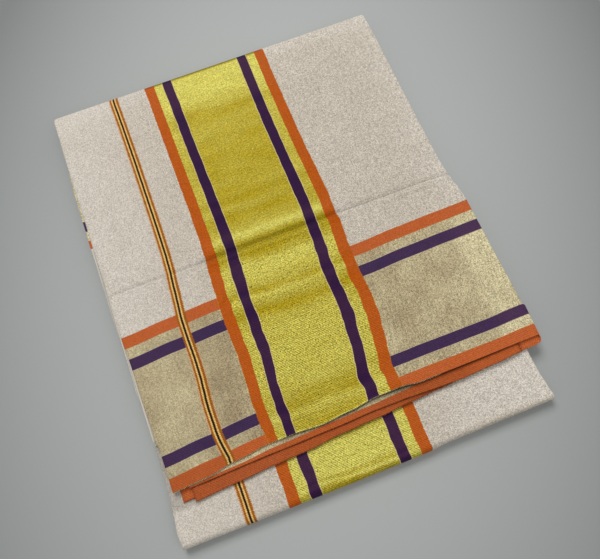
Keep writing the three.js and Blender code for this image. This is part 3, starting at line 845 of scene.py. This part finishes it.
def heart_rings():
    rings = []
    for reach in (FRONT_NOSE * math.sin(math.pi / 2 * t) for t in (1.0, 0.8, 0.55, 0.25, 0.0)):
        rings.append(heart_ring(FRONT_FOLD_Y - reach, *inside_fold(LOWER_HEIGHT / 2, reach)))
    flat_bottom = (PLY, 2 * PLY)
    low_top = (LOWER_HEIGHT - PLY, LOWER_HEIGHT - 2 * PLY)
    for t in steps(20)[1:]:
        rings.append(heart_ring(mix(FRONT_FOLD_Y, STRIPS_BACK_Y, t), flat_bottom, low_top))
    for t in steps(84):
        y = mix(STRIPS_BACK_Y + 0.05, BACK_FOLD_Y, t)
        under = lowest_top(y) - PLY - 1.2 * strip_droop(y, STRIP_FRONT_Y)
        rings.append(heart_ring(y, flat_bottom, (under, under - PLY)))
    for reach in (BACK_NOSE * math.sin(math.pi / 2 * t) for t in (0.2, 0.4, 0.6, 0.8, 1.0)):
        rings.append(heart_ring(BACK_FOLD_Y + reach, *inside_fold(BACK_RADIUS, reach)))
    return rings


def make_heart():
    rings = heart_rings()
    size = len(rings[0])
    points = [(Vector(p[:3]) - MIDDLE) * MM for ring in rings for p in ring]
    marks = []
    for x, y, z, pale, dark in (p for ring in rings for p in ring):
        v = top_v(x, y) if z > LOWER_HEIGHT else PLAIN_CLOTH_V + y
        marks.append((x + z + PLAIN_CLOTH_U, v, pale, dark))
    faces = []
    for r in range(len(rings) - 1):
        for c in range(size):
            a, b = r * size + c, r * size + (c + 1) % size
            faces.append((a, b, b + size, a + size))
    faces.append(tuple(reversed(range(size))))
    faces.append(tuple(range((len(rings) - 1) * size, len(rings) * size)))
    return mesh_piece("heart_plies", points, faces, marks)


heart_plies = make_heart()

# %% [markdown]
# ## Drawing with nodes
# A finish is many small sums on the cloth's coordinates. `Sheet` keeps them readable: it
# makes a node, sets or links its inputs and hands back the output.

# %% A small helper that lays nodes
class Sheet:
    """Lays nodes in one tree."""

    def __init__(self, tree):
        self.tree = tree

    def node(self, kind, inputs=(), **settings):
        made = self.tree.nodes.new(kind)
        for name, value in settings.items():
            setattr(made, name, value)
        for key, value in dict(inputs).items():
            self.feed(made.inputs[key], value)
        return made

    def feed(self, socket, value):
        if isinstance(value, bpy.types.NodeSocket):
            self.tree.links.new(value, socket)
        else:
            socket.default_value = value

    def math(self, operation, a, b=0.0, c=0.0):
        made = self.node("ShaderNodeMath", operation=operation)
        for socket, value in zip(made.inputs, (a, b, c)):
            self.feed(socket, value)
        return made.outputs[0]

    def plus(self, a, b):
        return self.math("ADD", a, b)

    def minus(self, a, b):
        return self.math("SUBTRACT", a, b)

    def times(self, a, b):
        return self.math("MULTIPLY", a, b)

    def times_plus(self, a, b, c):
        return self.math("MULTIPLY_ADD", a, b, c)

    def blend(self, share, a, b, mode="MIX"):
        made = self.node("ShaderNodeMix", data_type="RGBA", blend_type=mode)
        self.feed(made.inputs["Factor"], share)
        self.feed(made.inputs["A"], a)
        self.feed(made.inputs["B"], b)
        return made.outputs["Result"]

    def group(self, tree, **inputs):
        made = self.node("ShaderNodeGroup", node_tree=tree)
        for name, value in inputs.items():
            self.feed(made.inputs[name.replace("_", " ")], value)
        return made.outputs


def new_group(name, inputs, outputs):
    """A shader node group: its inputs with their defaults, and the names of its outputs."""
    tree = bpy.data.node_groups.new(name, "ShaderNodeTree")
    for title, default in inputs.items():
        socket = tree.interface.new_socket(title, in_out="INPUT", socket_type="NodeSocketFloat")
        socket.default_value = default
    for title in outputs:
        kind = "NodeSocketColor" if title == "Colour" else "NodeSocketFloat"
        tree.interface.new_socket(title, in_out="OUTPUT", socket_type=kind)
    sheet = Sheet(tree)
    entry, leave = sheet.node("NodeGroupInput"), sheet.node("NodeGroupOutput")
    return tree, sheet, entry.outputs, leave.inputs


def srgb(red, green, blue):
    """A colour from its screen values, 0 to 255."""
    def channel(value):
        value /= 255
        return value / 12.92 if value <= 0.04045 else ((value + 0.055) / 1.055) ** 2.4
    return (channel(red), channel(green), channel(blue), 1.0)

# %% [markdown]
# ## Groups that every cloth shares
# *Stripe* is 1 between two places, with a slightly soft edge. *Toothed edge* shifts a
# coordinate by a little for each thread that crosses, because a weft band's edge steps
# from thread to thread. *Weave* gives the slubs of two sets of yarn. *Grain* is the
# speckle of metallic thread, a random tone for each crossing of threads. *Twill* is the
# fine diagonal of the thick weft bands.

# %% Shared node groups
def make_stripe():
    tree, s, given, out = new_group("Stripe", dict(Place=0.0, From=0.0, To=1.0, Soft=0.00025), ["Mask"])
    rise = s.math("DIVIDE", s.minus(given["Place"], given["From"]), given["Soft"])
    fall = s.math("DIVIDE", s.minus(given["To"], given["Place"]), given["Soft"])
    nearest = s.plus(s.math("MINIMUM", rise, fall), 0.5)
    s.feed(out["Mask"], s.node("ShaderNodeClamp", {"Value": nearest}).outputs[0])
    return tree


def make_toothed_edge():
    tree, s, given, out = new_group("Toothed edge", dict(Along=0.0, Pitch=0.0012, Size=0.0003), ["Shift"])
    thread = s.math("DIVIDE", given["Along"], given["Pitch"])
    step = s.node("ShaderNodeTexWhiteNoise", {"W": s.math("FLOOR", thread)}, noise_dimensions="1D")
    tooth = s.times(s.math("PINGPONG", thread, 0.5), 2.0)
    both = s.plus(s.times(step.outputs["Value"], 0.5), s.minus(tooth, 0.75))
    s.feed(out["Shift"], s.times(both, given["Size"]))
    return tree


def stretched_noise(s, u, v, across, along, detail=2.0):
    """Noise whose blots are across metres wide in u and along metres long in v."""
    place = s.node("ShaderNodeCombineXYZ", {
        "X": s.math("DIVIDE", u, across), "Y": s.math("DIVIDE", v, along)})
    made = s.node("ShaderNodeTexNoise", {"Vector": place.outputs[0], "Scale": 1.0, "Detail": detail})
    return s.minus(made.outputs[0], 0.5)


def make_weave():
    tree, s, given, out = new_group("Weave", dict(U=0.0, V=0.0), ["Slub", "Streak", "Height"])
    u, v = given["U"], given["V"]
    warp = stretched_noise(s, u, v, 0.0006, 0.007)
    weft = stretched_noise(s, u, v, 0.008, 0.0007)
    s.feed(out["Slub"], s.plus(warp, weft))
    s.feed(out["Streak"], stretched_noise(s, u, v, 0.0011, 0.016))
    s.feed(out["Height"], s.plus(s.times(warp, 1.2), weft))
    return tree


def make_grain():
    tree, s, given, out = new_group(
        "Grain", dict(U=0.0, V=0.0, Size=0.0008, Share=0.15), ["Speckle", "Fleck"])
    place = s.node("ShaderNodeCombineXYZ", {"X": given["U"], "Y": given["V"]})
    scaled = s.node("ShaderNodeVectorMath", {0: place.outputs[0]}, operation="SCALE")
    s.feed(scaled.inputs["Scale"], s.math("DIVIDE", 1.0, given["Size"]))
    cells = s.node(
        "ShaderNodeTexVoronoi", {"Vector": scaled.outputs[0], "Scale": 1.0}, voronoi_dimensions="2D")
    chance = s.node("ShaderNodeSeparateColor", {0: cells.outputs["Color"]})
    s.feed(out["Speckle"], s.minus(chance.outputs[0], 0.5))
    s.feed(out["Fleck"], s.math("LESS_THAN", chance.outputs[1], given["Share"]))
    return tree


def make_twill():
    tree, s, given, out = new_group("Twill", dict(U=0.0, V=0.0, Across=600.0, Down=530.0), ["Line"])
    turns = s.plus(s.times(given["U"], given["Across"]), s.times(given["V"], given["Down"]))
    s.feed(out["Line"], s.math("SINE", s.times(turns, 2 * math.pi)))
    return tree


STRIPE = make_stripe()
TOOTHED_EDGE = make_toothed_edge()
WEAVE = make_weave()
GRAIN = make_grain()
TWILL = make_twill()
print("shared groups:", [g.name for g in bpy.data.node_groups])

# %% [markdown]
# ## The woven design
# The design is a list of stripes. The border's stripes are measured from the selvage and
# run along the saree. The end bands are measured along it and run across. Where they
# cross, the end bands win, because their thick metallic weft covers the warp. A pale
# thread lies beside each purple band. A painted picture would blur close up, while
# stripes worked out from the coordinates stay sharp.

# %% Stripes of the border, the end bands and the narrow stripe
CREAM = srgb(188, 179, 165)
TISSUE = srgb(155, 139, 108)
BORDER_ORANGE = srgb(181, 89, 40)
BORDER_PURPLE = srgb(58, 38, 74)
BORDER_PALE = srgb(186, 172, 142)
GOLD = srgb(162, 142, 17)
BAND_ORANGE = srgb(174, 80, 2)
BAND_PURPLE = srgb(44, 14, 56)
PALE_THREAD = srgb(204, 190, 122)
ROPE = srgb(222, 180, 104)
STRIPE_ORANGE = srgb(147, 86, 15)
STRIPE_FRINGE = srgb(204, 158, 118)
BLACK = srgb(26, 16, 4)

# The colour that a painted highlight adds to each kind of yarn.
CREAM_PAINTED_HIGHLIGHT_ADDS = (0.085, 0.088, 0.095, 1.0)
TISSUE_PAINTED_HIGHLIGHT_ADDS = (0.26, 0.26, 0.165, 1.0)
GOLD_PAINTED_HIGHLIGHT_ADDS = (0.20, 0.24, 0.095, 1.0)
DYED_PAINTED_HIGHLIGHT_ADDS = (0.022, 0.010, 0.008, 1.0)

BEYOND_SELVAGE = -9.0           # the first stripe reaches past the cloth's edge
BORDER_STRIPES = table(  # distance from the selvage
    "start end colour",
    (BEYOND_SELVAGE, SELVAGE_ORANGE, BORDER_ORANGE),
    (15.3, 23.3, BORDER_PALE),
    (15.6, 23.0, BORDER_PURPLE),
    (80.1, 88.5, BORDER_PALE),
    (80.4, 88.2, BORDER_PURPLE),
    (95.5, BORDER_WIDTH, BORDER_ORANGE))
BAND_STRIPES = table(  # place along the saree, in the end bands
    "start end colour edge",
    (-55.4, -48.0, BAND_ORANGE, 1.0),
    (-41.75, -33.75, PALE_THREAD, 0.5),
    (-41.3, -34.2, BAND_PURPLE, 0.4),
    (17.95, 26.05, PALE_THREAD, 0.5),
    (18.4, 25.6, BAND_PURPLE, 0.4),
    (32.4, 39.9, BAND_ORANGE, 1.0))
NARROW_STRIPES = table(
    "start end colour edge",
    (-83.65, -76.4, STRIPE_FRINGE, 1.6),
    (-83.0, -76.8, STRIPE_ORANGE, 1.4),
    (-81.7, -78.35, ROPE, -0.9),
    (-80.75, -79.3, BLACK, 0.6))

# %% [markdown]
# ## Laying the stripes
# The design starts as cream, with tissue in the border. Each stripe is laid over what is
# there already, first the border's, then the end bands', then the narrow stripe's, in the
# order in which they hide each other. The bands' edges step from thread to thread, and
# the border's waver, because no woven line is as straight as a ruled one.

# %% The woven design
def stripe(s, place, start, end, soft=0.3):
    return s.group(STRIPE, Place=place, From=start * MM, To=end * MM, Soft=soft * MM)["Mask"]


def woven_design():
    """The whole pattern: colour, and masks that say which yarn is where."""
    tree, s, given, out = new_group(
        "Woven design", dict(U=0.0, V=0.0), ["Colour", "Gold", "Tissue", "Dyed"])
    u, v = given["U"], given["V"]
    tooth = s.group(TOOTHED_EDGE, Along=v, Pitch=0.0012, Size=0.0004)["Shift"]
    wobble = s.times(stretched_noise(s, u, v, 0.008, 0.011, detail=1.0), 0.0022)
    wobble = s.times(wobble, s.minus(1.0, s.times(stripe(s, v, 128, 400), 0.6)))
    v_edge = s.times_plus(stretched_noise(s, u, v, 0.0016, 0.004, detail=1.0), 0.0003, v)

    def toothed(size, sway=1.0):
        shifted = s.times_plus(tooth, size, u)
        return s.times_plus(wobble, sway, shifted)

    def lay(row, place, colour, dyed, free=1.0):
        """One more stripe over what is woven so far."""
        mask = s.times(stripe(s, place, row["start"], row["end"]), free)
        return s.blend(mask, colour, row["colour"]), s.math("MAXIMUM", dyed, mask)

    in_border = stripe(s, v_edge, BEYOND_SELVAGE, BORDER_WIDTH)
    in_band = stripe(s, toothed(1.0, 0.5), BAND_STRIPES[0]["start"], BAND_STRIPES[-1]["end"])
    colour = s.blend(in_border, CREAM, TISSUE)
    dyed = 0.0
    for row in BORDER_STRIPES:
        colour, dyed = lay(row, v_edge, colour, dyed)
    colour = s.blend(in_band, colour, GOLD)
    dyed = s.minus(dyed, in_band)
    for row in BAND_STRIPES:
        colour, dyed = lay(row, toothed(row["edge"]), colour, dyed)
    undyed = s.minus(1.0, dyed)
    for row in NARROW_STRIPES:
        free = undyed if row["colour"] == STRIPE_FRINGE else 1.0
        colour, dyed = lay(row, toothed(row["edge"], 0.2), colour, dyed, free)
    dyed = s.math("MAXIMUM", dyed, 0.0)
    plain = s.minus(1.0, dyed)
    only_border = s.times(in_border, s.minus(1.0, in_band))
    s.feed(out["Colour"], colour)
    s.feed(out["Gold"], s.times(in_band, plain))
    s.feed(out["Tissue"], s.times(only_border, plain))
    s.feed(out["Dyed"], dyed)
    return tree


WOVEN_DESIGN = woven_design()
print("woven design:", len(WOVEN_DESIGN.nodes), "nodes")

# %% [markdown]
# ## The cloth's finish
# Every ply is the same cloth, so one finish serves them all. Each kind of yarn answers
# light in its own way: cotton is matt, tissue has thin metallic threads, the gold bands
# are mostly metallic yarn, and the dyed bands have the low sheen of silky yarn. A flat
# tone would look printed, so the tone adds up what makes cloth uneven: the speckle of
# metal, slubs, streaks and the fine diagonal of the thick weft.

# %% How each yarn speckles and gleams
def yarn_share(s, design, cream, tissue, gold, dyed):
    """A number that differs from yarn to yarn, mixed by the design's masks."""
    plain = s.plus(design["Gold"], s.plus(design["Tissue"], design["Dyed"]))
    total = s.times_plus(plain, -cream, cream)
    for mask, value in (("Tissue", tissue), ("Gold", gold), ("Dyed", dyed)):
        total = s.times_plus(design[mask], value, total)
    return total


def along_cloth(s, v, near_selvage, rest, reach=32):
    """One number near the selvage and on the lower packet, where yarn stands out most."""
    front = s.math("MAXIMUM", stripe(s, v, -40, reach, soft=22), stripe(s, v, 560, 700, soft=20))
    return s.times_plus(front, near_selvage - rest, rest)


def gold_grain(s, u, v, speckle, mottle):
    """Speckle, twill and rows of the gold yarn, strongest in the cloth near the selvage."""
    heavy = s.minus(1.0, s.times(stripe(s, v, 128, 400, soft=16), 0.36))
    twill = s.group(TWILL, U=u, V=v)["Line"]
    twill = s.times(twill, s.times_plus(mottle, 1.6, 0.85))
    twill = s.times(twill, s.times(heavy, along_cloth(s, v, 1.0, 0.2, reach=82)))
    rows = s.group(TWILL, U=u, V=v, Across=12.0, Down=520.0)["Line"]
    rows = s.times(rows, s.times_plus(stretched_noise(s, u, v, 0.009, 0.006), 2.6, 0.45))
    rows = s.times(rows, s.times_plus(stripe(s, v, -40, 32, soft=22), 0.12, 0.10))
    dash = s.times(stretched_noise(s, u, v, 0.0030, 0.0008, detail=1.0), along_cloth(s, v, 0.9, 0.3))
    blots = s.times(s.times_plus(mottle, 2.2, dash), along_cloth(s, v, 0.7, 1.0))
    grain = s.times(s.times_plus(speckle, 0.55, blots), heavy)
    return s.plus(grain, rows), twill


def yarn_tone(s, design, u, v):
    """Light and dark of the yarn, around 1, and the height for its bump."""
    weave = s.group(WEAVE, U=u, V=v)
    coarse = s.group(GRAIN, U=u, V=v, Size=0.0010, Share=0.12)
    fine = s.group(GRAIN, U=s.plus(u, 0.31), V=v, Size=0.00047, Share=0.10)
    mottle = stretched_noise(s, u, v, 0.00095, 0.00095, detail=1.0)
    fleck = s.plus(coarse["Fleck"], fine["Fleck"])
    grain, twill = gold_grain(s, u, v, fine["Speckle"], mottle)
    signs = [                   # each with its strength in cream, tissue, gold and dyed yarn
        (coarse["Speckle"], 0.10, 0.14, 0.25, 0.12), (fine["Speckle"], 0.72, 0.90, 0.0, 0.20),
        (mottle, 0.16, 0.50, 0.0, 0.75), (grain, 0.0, 0.0, 1.0, 0.0), (fleck, 0.10, 0.14, 0.08, 0.03),
        (weave["Slub"], 0.18, 0.16, 0.10, 0.22), (weave["Streak"], 0.20, 0.60, 0.0, 0.10),
        (twill, 0.0, 0.0, 0.31, 0.18),
    ]
    uneven = 0.0
    for sign, *strength in signs:
        uneven = s.times_plus(sign, yarn_share(s, design, *strength), uneven)
    calm = s.times_plus(stripe(s, u, -400, -62, soft=20), -0.28, 1.0)
    tone = s.times_plus(uneven, calm, 1.0)
    height = s.plus(weave["Height"], s.times(fine["Speckle"], 0.6))
    height = s.times_plus(twill, yarn_share(s, design, 0.0, 0.0, 0.6, 0.35), height)
    return tone, height, fleck

# %% [markdown]
# ## The cloth's material
# The design gives the colour. The gleam that each point carries adds a painted highlight,
# the pale glint of metal, to its yarn, the painted shade takes light away, and the tone
# multiplies both. The weave, the speckle and the twill also make a shallow bump, because
# threads stand up from the cloth by a tenth of a millimetre. Smooth metal would mirror the
# room, so it stays rough.

# %% The material
def cloth_material(name):
    """Cloth whose colour, metal and bump all come from its own coordinates."""
    material = bpy.data.materials.new(name)
    material.use_nodes = True
    tree = material.node_tree
    tree.nodes.clear()
    s = Sheet(tree)
    uv = s.node("ShaderNodeUVMap", uv_map="cloth")
    axes = s.node("ShaderNodeSeparateXYZ", {0: uv.outputs[0]})
    u, v = axes.outputs[0], axes.outputs[1]
    design = s.group(WOVEN_DESIGN, U=u, V=v)
    tone, height, fleck = yarn_tone(s, design, u, v)

    adds = s.blend(design["Tissue"], CREAM_PAINTED_HIGHLIGHT_ADDS, TISSUE_PAINTED_HIGHLIGHT_ADDS)
    adds = s.blend(design["Gold"], adds, GOLD_PAINTED_HIGHLIGHT_ADDS)
    adds = s.blend(design["Dyed"], adds, DYED_PAINTED_HIGHLIGHT_ADDS)
    painted_highlight_here = s.node("ShaderNodeAttribute", attribute_name="gleam").outputs["Fac"]
    painted_shade_here = s.node("ShaderNodeAttribute", attribute_name="shade").outputs["Fac"]
    # The painted highlight is added to the colour, and the painted shade darkens the tone.
    colour = s.blend(painted_highlight_here, design["Colour"], adds, "ADD")
    tone = s.times(tone, s.minus(1.0, painted_shade_here))
    grey = s.node("ShaderNodeCombineColor", {0: tone, 1: tone, 2: tone})
    colour = s.blend(1.0, colour, grey.outputs[0], "MULTIPLY")

    metallic = s.times_plus(fleck, yarn_share(s, design, 0.03, 0.12, 0.10, 0.0),
                            yarn_share(s, design, 0.0, 0.06, 0.12, 0.0))
    roughness = yarn_share(s, design, 0.75, 0.62, 0.58, 0.7)
    bumped = s.node("ShaderNodeBump", {"Strength": 0.5, "Distance": 0.0001, "Height": height})
    shader = s.node("ShaderNodeBsdfPrincipled", {
        "Base Color": colour, "Metallic": metallic, "Roughness": roughness, "Normal": bumped.outputs[0],
        "Sheen Weight": 0.03, "Sheen Roughness": 0.5, "Specular IOR Level": 0.1})
    output = s.node("ShaderNodeOutputMaterial")
    s.feed(output.inputs["Surface"], shader.outputs[0])
    return material


CREAM_TISSUE = cloth_material("cream_tissue")
WOVEN_BORDER = cloth_material("woven_border")
print("cloth materials:", CREAM_TISSUE.name, WOVEN_BORDER.name)

# %% [markdown]
# ## Selvage loops
# At a selvage each weft thread turns round the last warp and goes back into the cloth, so
# the edge is a row of tiny loops. They repeat along a path, so geometry nodes make them:
# a point every pitch along the edge, and half a ring of thread on each point.

# %% Loops of weft along the free edges
def loops_tree():
    tree = bpy.data.node_groups.new("Selvage loops", "GeometryNodeTree")
    kinds = {"Geometry": "Geometry", **dict.fromkeys(LOOP_SIZES, "Float"), "Material": "Material"}
    sockets = {}
    for title, kind in kinds.items():
        made = tree.interface.new_socket(title, in_out="INPUT", socket_type="NodeSocket" + kind)
        sockets[title] = made.identifier
    tree.interface.new_socket("Geometry", in_out="OUTPUT", socket_type="NodeSocketGeometry")
    s = Sheet(tree)
    given, out = s.node("NodeGroupInput").outputs, s.node("NodeGroupOutput")
    path = s.node("GeometryNodeMeshToCurve", {"Mesh": given["Geometry"]})
    points = s.node(
        "GeometryNodeCurveToPoints", {"Curve": path.outputs[0], "Length": given["Pitch"]}, mode="LENGTH")
    along = s.node("FunctionNodeAlignRotationToVector", {"Vector": points.outputs["Tangent"]}, axis="Z")
    facing = s.node("FunctionNodeAlignRotationToVector", {
        "Rotation": along.outputs[0], "Vector": (0.0, -1.0, 0.0)}, axis="X", pivot_axis="Z")
    arc = s.node("GeometryNodeCurveArc", {
        "Resolution": 8, "Radius": given["Loop radius"], "Start Angle": -math.pi / 2,
        "Sweep Angle": math.pi}, mode="RADIUS")
    ring = s.node("GeometryNodeCurvePrimitiveCircle", {
        "Resolution": 6, "Radius": given["Thread radius"]}, mode="RADIUS")
    loop = s.node("GeometryNodeCurveToMesh", {
        "Curve": arc.outputs[0], "Profile Curve": ring.outputs[0], "Fill Caps": True})
    uneven = s.node("FunctionNodeRandomValue", {"Seed": 4}, data_type="FLOAT")
    s.feed(uneven.inputs[2], 0.8)
    s.feed(uneven.inputs[3], 1.15)
    placed = s.node("GeometryNodeInstanceOnPoints", {
        "Points": points.outputs["Points"], "Instance": loop.outputs[0], "Rotation": facing.outputs[0],
        "Scale": uneven.outputs[1]})
    real = s.node("GeometryNodeRealizeInstances", {"Geometry": placed.outputs[0]})
    coloured = s.node("GeometryNodeSetMaterial", {
        "Geometry": real.outputs[0], "Material": given["Material"]})
    s.feed(out.inputs[0], coloured.outputs[0])
    return tree, sockets


LOOP_SIZES = {"Pitch": 0.95 * MM, "Loop radius": 0.36 * MM, "Thread radius": 0.19 * MM}
LOOPS, LOOP_SOCKETS = loops_tree()


def volume_of(mesh):
    total = 0.0
    for face in mesh.polygons:
        corners = [mesh.vertices[i].co for i in face.vertices]
        for b, c in zip(corners[1:], corners[2:]):
            total += corners[0].dot(b.cross(c)) / 6
    return total


def selvage_loops(name, line, material):
    """line is the edge, in mm; the loops come back as a plain mesh."""
    path = bpy.data.meshes.new(name)
    points = [(Vector(point) - MIDDLE) * MM for point in line]
    path.from_pydata(points, [(i, i + 1) for i in range(len(points) - 1)], [])
    maker = put(name + "_path", path)
    modifier = maker.modifiers.new("loops", "NODES")
    modifier.node_group = LOOPS
    for title, value in (*LOOP_SIZES.items(), ("Material", material)):
        modifier[LOOP_SOCKETS[title]] = value
    bpy.context.view_layer.update()
    made = bpy.data.meshes.new_from_object(maker.evaluated_get(bpy.context.evaluated_depsgraph_get()))
    bpy.data.objects.remove(maker)
    made.name = name
    if volume_of(made) < 0:
        made.flip_normals()
    made.shade_smooth()
    print(f"{name}: {len(made.polygons)} faces, {volume_of(made) * 1e9:.1f} mm3 of thread")
    return put(name, made)

# %% [markdown]
# ## Yarn for the loops
# The loops are too small to carry a woven pattern. What shows on such thread is that dye
# and metal are uneven along it, so a soft noise mixes a pale and a deep tone.

# %% Yarn, and the loops of each ply
def matt_material(name, roughness, specular):
    """A plain material, a sheet to draw its colour on, and the socket that takes the colour."""
    material = bpy.data.materials.new(name)
    material.use_nodes = True
    sockets = material.node_tree.nodes["Principled BSDF"].inputs
    sockets["Roughness"].default_value = roughness
    sockets["Specular IOR Level"].default_value = specular
    return material, Sheet(material.node_tree), sockets["Base Color"]


def yarn_material(name, pale, deep):
    """Thread that varies a little in colour along its length."""
    material, s, base = matt_material(name, 0.65, 0.15)
    place = s.node("ShaderNodeTexCoord").outputs["Object"]
    patchy = s.node("ShaderNodeTexNoise", {"Vector": place, "Scale": 420.0, "Detail": 2.0})
    share = s.node("ShaderNodeMapRange", {"Value": patchy.outputs[0], "From Min": 0.35, "From Max": 0.65})
    s.feed(base, s.blend(share.outputs[0], deep, pale))
    return material


PALE_YARN = yarn_material("pale_yarn", srgb(222, 212, 170), srgb(184, 168, 118))
ORANGE_YARN = yarn_material("orange_yarn", srgb(186, 108, 62), srgb(132, 64, 32))
top_loops = selvage_loops("top_loops", top_front, PALE_YARN)
second_loops = selvage_loops("second_loops", second_front, ORANGE_YARN)
third_loops = selvage_loops("third_loops", third_front, ORANGE_YARN)
fourth_loops = selvage_loops("fourth_loops", fourth_front, ORANGE_YARN)

# %% [markdown]
# ## Putting the plies in place
# Each piece says which solid it stands for, what it rides on and how its cloth was cut.
# The flat sizes are in metres, along the folds. Nothing here moves, so all ride the root.

# %% Dress the solids
def stand_for(piece, node):
    """Puts a piece on the root and hides the solid that it takes the place of."""
    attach(piece, "root")
    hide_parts(node)


PLY_FACTS = table(
    "piece node slot flat rests_on loops",
    (top_cloth, "top_ply", "cream_tissue", (0.268, 0.450), "heart_plies", [top_loops]),
    (front_fold_cloth, "front_fold_ply", "cream_tissue", (0.268, 0.231), "heart_plies", []),
    (second_cloth, "second_ply", "woven_border", (0.229, 0.032), "third_cloth", [second_loops]),
    (third_cloth, "third_ply", "woven_border", (0.240, 0.036), "fourth_cloth", [third_loops]),
    (fourth_cloth, "fourth_ply", "woven_border", (0.245, 0.034), "front_fold_cloth", [fourth_loops]),
    (inner_end_cloth, "inner_end_ply", "cream_tissue", (0.031, 0.245), "heart_plies", []),
)
for fact in PLY_FACTS:
    piece, loops = fact["piece"], fact["loops"]
    piece.data.materials.append(CREAM_TISSUE if fact["slot"] == "cream_tissue" else WOVEN_BORDER)
    stand_for(piece, fact["node"])
    for part in loops:
        stand_for(part, fact["node"])
heart_plies.data.materials.append(CREAM_TISSUE)
stand_for(heart_plies, "folded_heart")
print("sheets:", len(PLY_FACTS))

# %% [markdown]
# ## The table
# The packet lies on a plain pale table. It is one big square with a matt finish, and a
# pool of light is painted on it: it darkens away from the middle, since a few soft lamps
# alone would light it evenly.

# %% The floor
FLOOR_SIDE = 6.0
# The painted pool of light: the colour at its middle and far off, its shape, and where it is brightest.
FLOOR_MIDDLE = srgb(180, 183, 182)
FLOOR_FAR = srgb(127, 130, 129)
FLOOR_PAINTED_POOL = [                  # a way across the pool of light, and its reach that way
    ((0.934, -0.356, 0.0), 0.241), ((0.356, 0.934, 0.0), 0.375)]
FLOOR_PAINTED_BRIGHTEST = (0.010, 0.020, 0.0)
FLOOR_DARKEST_AT = 1.25


def floor_material():
    """Pale matt grey with a painted pool of light: a little darker away from the middle."""
    material, s, base = matt_material("pale_table", 0.9, 0.1)
    corner = s.node("ShaderNodeTexCoord").outputs["Object"]
    place = s.node("ShaderNodeVectorMath", {0: corner, 1: FLOOR_PAINTED_BRIGHTEST}, operation="SUBTRACT")
    reach = []
    for way, size in FLOOR_PAINTED_POOL:
        along = s.node("ShaderNodeVectorMath", {0: place.outputs[0], 1: way}, operation="DOT_PRODUCT")
        away = s.math("DIVIDE", s.math("ABSOLUTE", along.outputs["Value"]), size)
        reach.append(s.math("POWER", away, 2.0))
    share = s.math("MINIMUM", s.plus(*reach), FLOOR_DARKEST_AT)
    s.feed(base, s.blend(s.math("DIVIDE", share, FLOOR_DARKEST_AT), FLOOR_MIDDLE, FLOOR_FAR))
    return material


half = FLOOR_SIDE / 2
corners = [(-half, -half, 0), (half, -half, 0), (half, half, 0), (-half, half, 0)]
floor_mesh = bpy.data.meshes.new("table_top")
floor_mesh.from_pydata(corners, [], [(0, 1, 2, 3)])
floor_mesh.materials.append(floor_material())
floor = put("table_top", floor_mesh)
print("floor, m:", FLOOR_SIDE, "square")

# %% [markdown]
# ## Lights
# Cloth shows its relief in light that comes from one side, so a large lamp stands behind
# the packet like a window. A weak one in front keeps the near folds from going black, and
# a pale room fills the rest.

# %% Lights
LIGHTS = [
    dict(name="window_behind", at=(-0.16, 1.60, 2.10), size=1.2, watts=43.0),
    dict(name="fill_in_front", at=(0.60, -1.20, 2.10), size=1.8, watts=11.0),
]


def soft_light(name, at, size, watts):
    data = bpy.data.lights.new(name, "AREA")
    data.size, data.energy = size, watts
    lamp = put(name, data)
    lamp.location = at
    lamp.rotation_euler = (-Vector(at)).to_track_quat("-Z", "Y").to_euler()


for light in LIGHTS:
    soft_light(**light)
world = bpy.data.worlds.new("soft_room")
world.use_nodes = True
room = world.node_tree.nodes["Background"].inputs
room["Color"].default_value = (1.0, 0.99, 0.97, 1.0)
room["Strength"].default_value = 0.42
bpy.context.scene.world = world
print("lights:", [light["name"] for light in LIGHTS])

# %% [markdown]
# ## Camera
# The camera looks down steeply from the front, turned a little, from under half a metre
# away. Everything stays sharp, because the packet is flat and no part of it is far off.

# %% Camera
CAMERA_AT = Vector((-27.28, -135.39, 386.63))
CAMERA_RIGHT = Vector((0.934, -0.3557, -0.0327))
CAMERA_FORWARD = Vector((0.0725, 0.2783, -0.9578))
CAMERA_LENS = 34.5
CAMERA_SENSOR = 36.0

camera_data = bpy.data.cameras.new("camera")
camera_data.lens = CAMERA_LENS
camera_data.sensor_width = CAMERA_SENSOR
camera_data.clip_start = 0.01
camera = put("camera", camera_data)
forward = CAMERA_FORWARD.normalized()
right = (CAMERA_RIGHT - forward * CAMERA_RIGHT.dot(forward)).normalized()
up = right.cross(forward)
turned = Matrix((right, up, -forward)).transposed().to_4x4()
camera.matrix_world = Matrix.Translation((CAMERA_AT - MIDDLE) * MM) @ turned
bpy.context.scene.camera = camera
bpy.context.scene.view_settings.view_transform = "Standard"
print("camera, m:", [round(c, 3) for c in camera.matrix_world.translation])
